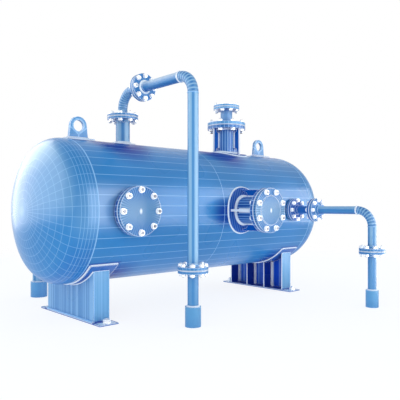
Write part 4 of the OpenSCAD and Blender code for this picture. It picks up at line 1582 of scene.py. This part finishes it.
# %% Weld the pipe lines
mesh = bmesh.new()
neck_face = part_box("riser_bridge")[1].y - SMALL_T
bead(mesh, round_path(Vector((riser_run.x, neck_face, riser_run.z)), Y, RISER, -Y), (0.022, 0.016))
for line, run, radius in (("riser", riser_run, RISER), ("outlet", outlet_run, OUTLET)):
    bend_low, bend_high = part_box(f"{line}_elbow")
    leg_y = centre_of(f"{line}_leg").y
    butt_ring(mesh, Vector((run.x, bend_high.y, run.z)), Y, radius, 0.022, 0.006)
    butt_ring(mesh, Vector((run.x, leg_y, bend_low.z)), Z, radius, 0.010, 0.004, 1)
foot_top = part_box("riser_foot")[1].z
for line, radius in (("riser", RISER), ("outlet", OUTLET), ("drain", SIX_INCH)):
    middle = centre_of(f"{line}_foot")
    bead(mesh, round_path(Vector((middle.x, middle.y, foot_top)), Z, radius), (0.014, 0.012))
finish_piece("weld_pipes", mesh, [weld_finish, seam_finish])

# %% [markdown]
# On a saddle a bead runs round the wear plate, along the foot and the head of the web,
# and up and along every rib. The beads inside the bays are the widest, and the brightest:
# their paint is a lit copy of the weld paint, near white and free of the painted corner
# shade, so that they show in the dark. On the end ribs, which stand flush with the web's
# ends, the corner on the outer side is no corner at all, so a flat butt bead closes it.

# %% Weld the saddles
WEAR_OUT = shell_radius + 0.0144
RIB_T, RIBS = 0.016, 4
WEAR_LEGS = (0.011, 0.010)


def weld_wear_plate(mesh, low, high):
    """A bead all round a wear plate."""
    for x, way in ((low.x, -X), (high.x, X)):
        arc_bead(mesh, x, shell_radius, -WEAR_ANGLE, WEAR_ANGLE, way, WEAR_LEGS)
    for turn in (-WEAR_ANGLE, WEAR_ANGLE):
        normal = Y * math.sin(turn) - Z * math.cos(turn)
        past_edge = (Y * math.cos(turn) + Z * math.sin(turn)) * math.copysign(1, turn)
        edge = AXIS_POINT + normal * shell_radius
        fillet(mesh, edge + X * low.x, edge + X * high.x, past_edge, normal, WEAR_LEGS)


def weld_rib(mesh, y, face, web, rib_end, out, web_end):
    """One side of a rib: up the web, and out along the base plate."""
    side = Y * face
    foot = Vector((web, y + face * RIB_T / 2, base_high.z))
    head = Vector((web, foot.y, axis_height - math.sqrt(WEAR_OUT ** 2 - foot.y ** 2)))
    if abs(foot.y) > web_end - SKIN:
        fillet(mesh, foot, head, X, side, (0.004, 0.002), 2, butt=True)
    else:
        fillet(mesh, foot, head, -out, side, (0.026, 0.028), 3)
    fillet(mesh, foot, Vector((rib_end, foot.y, foot.z)), side, Z, (0.009, 0.009), 1)


for name, out in (("left", -X), ("right", X)):
    web, ribs, wear = (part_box(f"saddle_{name}_{part}") for part in ("web", "ribs", "wear_plate"))
    inner, outer = (0, 1) if out.x > 0 else (1, 0)
    web_in, web_out, rib_end = web[inner].x, web[outer].x, ribs[inner].x
    mesh = bmesh.new()
    weld_wear_plate(mesh, *wear)
    ends = [Vector((web_out, corner.y, base_high.z)) for corner in web]
    fillet(mesh, *ends, out, Z, (0.014, 0.017), 2)
    reach = math.asin(web[1].y / WEAR_OUT)
    arc_bead(mesh, web_out, WEAR_OUT, -reach, reach, out, (0.009, 0.009))
    for rib in range(RIBS):
        y = ribs[0].y + RIB_T / 2 + rib * (ribs[1].y - ribs[0].y - RIB_T) / (RIBS - 1)
        for face in (-1, 1):
            weld_rib(mesh, y, face, web_in, rib_end, out, web[1].y)
    finish_piece(f"weld_saddle_{name}", mesh, [weld_finish, blue_weld, seam_finish, bright_weld])

# %% [markdown]
# A lug's pad is welded to the shell on all four sides, and the eye plate to the pad. The
# sides along x are straight, and the two across it are arcs, as the pad is rolled.

# %% Weld the lifting lugs
LUG_T, LUG_FOOT, LUG_PAD_OUT = 0.038, 0.248, shell_radius + 0.0184
LUG_PAD_LEGS, LUG_LEGS = (0.012, 0.011), (0.013, 0.013)
for name in LUGS:
    low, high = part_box(name)
    mesh = bmesh.new()
    reach = math.asin(high.y / shell_radius)
    for x, way in ((low.x, -X), (high.x, X)):
        arc_bead(mesh, x, shell_radius, math.pi - reach, math.pi + reach, way, LUG_PAD_LEGS)
    foot = AXIS_POINT + X * centre_of(name).x + Z * LUG_PAD_OUT
    for face in (-1, 1):
        edge = AXIS_POINT + Y * (face * high.y) + Z * math.sqrt(shell_radius ** 2 - high.y ** 2)
        down = (Y * face * math.cos(reach) - Z * math.sin(reach)).normalized()
        fillet(mesh, edge + X * low.x, edge + X * high.x, down, Z, LUG_PAD_LEGS)
        side, end = Y * (face * LUG_T / 2), X * (face * LUG_FOOT / 2)
        half_t, half_foot = Y * (LUG_T / 2), X * (LUG_FOOT / 2)
        fillet(mesh, foot + side - half_foot, foot + side + half_foot, Y * face, Z, LUG_LEGS)
        fillet(mesh, foot + end - half_t, foot + end + half_t, X * face, Z, LUG_LEGS)
    finish_piece(f"weld_{name}", mesh, [weld_finish])

# %% [markdown]
# ## Sky
#
# The vessel stands on a plain white floor in a white room. Both show as plain white to
# the camera and in reflections, while the light that falls on the vessel is set apart,
# by asking each ray what it is. What lights the vessel is a sky that is whiter low down
# and bluer overhead.

# %% Sky
def seen_directly(nodes):
    """1 for camera, glossy and transmission rays."""
    ray = nodes.add("ShaderNodeLightPath").outputs
    seen = nodes.larger(ray["Is Camera Ray"], ray["Is Glossy Ray"])
    return nodes.larger(seen, ray["Is Transmission Ray"])


world = bpy.data.worlds.new("sky")
world.use_nodes = True
bpy.context.scene.world = world
sky = Sums(world.node_tree)
split = sky.add("ShaderNodeSeparateXYZ")
sky.feed(split.inputs[0], sky.add("ShaderNodeTexCoord").outputs["Generated"])
height = sky.add("ShaderNodeMapRange")
sky.feed(height.inputs[0], split.outputs[2])
lit = sky.tree.nodes["Background"]
lit.inputs["Strength"].default_value = 1.0
sky.feed(lit.inputs["Color"], sky.mix(height.outputs[0], (0.98, 0.98, 0.98, 1), (0.46, 0.58, 0.70, 1)))
white = sky.plain("ShaderNodeBackground", Color=(1, 1, 1, 1))
shown = sky.blend(seen_directly(sky), lit.outputs[0], white)
sky.feed(sky.tree.nodes["World Output"].inputs[0], shown)
print("sky:", len(sky.tree.nodes), "nodes")

# %% [markdown]
# ## Floor
#
# The floor is a wide disc that fades out before its rim, so no edge shows. To the camera
# it is nearly all glow, which keeps it white and lets only a faint shadow show. To the
# vessel it is a plain pale floor that throws light up at the shell's underside.

# %% Floor
FLOOR_RADIUS, FADE_FROM, FADE_TO, UNDER_FEET = 11.0, 5.0, 10.0, 0.0005
floor_mesh = bmesh.new()
bmesh.ops.create_circle(floor_mesh, cap_ends=True, segments=96, radius=FLOOR_RADIUS)
floor_data = bpy.data.meshes.new("floor")
floor_mesh.to_mesh(floor_data)
floor_mesh.free()
floor = bpy.data.objects.new("floor", floor_data)
floor.location.z = cad_box[0][2] - UNDER_FEET
bpy.context.scene.collection.objects.link(floor)

ground = Finish("floor_white")
ground.tree.nodes.remove(ground.shader)
to_camera = ground.both(ground.plain("ShaderNodeBsdfDiffuse", Color=(0.25, 0.25, 0.25, 1)),
                        ground.plain("ShaderNodeEmission", Strength=0.82))
to_vessel = ground.both(ground.plain("ShaderNodeBsdfDiffuse", Color=(0.8, 0.8, 0.8, 1)),
                        ground.plain("ShaderNodeEmission", Strength=0.50))
solid = ground.blend(seen_directly(ground), to_vessel, to_camera)
faded = ground.ramp(radius_of(ground, ground.x, ground.y), FADE_FROM, FADE_TO)
shown = ground.blend(faded, solid, ground.plain("ShaderNodeBsdfTransparent"))
ground.feed(ground.tree.nodes["Material Output"].inputs[0], shown)
floor_data.materials.append(ground.material)
print(f"floor at {floor.location.z:.4f} m, fading from {FADE_FROM:.0f} to {FADE_TO:.0f} m")

# %% [markdown]
# ## Lamps
#
# Enamel shows its gloss only where it mirrors something bright. A long strip beside the
# vessel puts a band of light along the shell, and a large soft lamp beyond the left end
# does the same for the head. Neither lights the paint itself, so the blue stays deep. A
# third lamp does the opposite: it lights the front and leaves no reflection.

# %% Lamps
def softbox(name, place, aim, wide, high, level, gloss=True, diffuse=True):
    """A large soft lamp. level is its brightness where 1 is white paper."""
    lamp = bpy.data.lights.new(name, "AREA")
    lamp.shape = "RECTANGLE"
    lamp.size, lamp.size_y = wide, high
    lamp.energy = level * math.pi * wide * high
    lamp_object = bpy.data.objects.new(name, lamp)
    lamp_object.location = place
    lamp_object.rotation_euler = (Vector(aim) - Vector(place)).to_track_quat("-Z", "Y").to_euler()
    lamp_object.visible_camera = False
    lamp_object.visible_glossy = gloss
    lamp_object.visible_diffuse = diffuse
    bpy.context.scene.collection.objects.link(lamp_object)
    print(f"{name}: {lamp.energy:.0f} W")


softbox("strip", (1.8, -3.0, 1.62), (1.0, 0.92, 1.62), 7.2, 3.3, 6.5, diffuse=False)
softbox("end_glow", (-4.6, 2.8, 3.0), (-2.1, -0.3, 1.3), 8.0, 5.6, 3.3, diffuse=False)
softbox("key", (-5.0, -6.0, 5.0), (0, 0, 1.2), 5.0, 4.0, 1.2, gloss=False)

# %% [markdown]
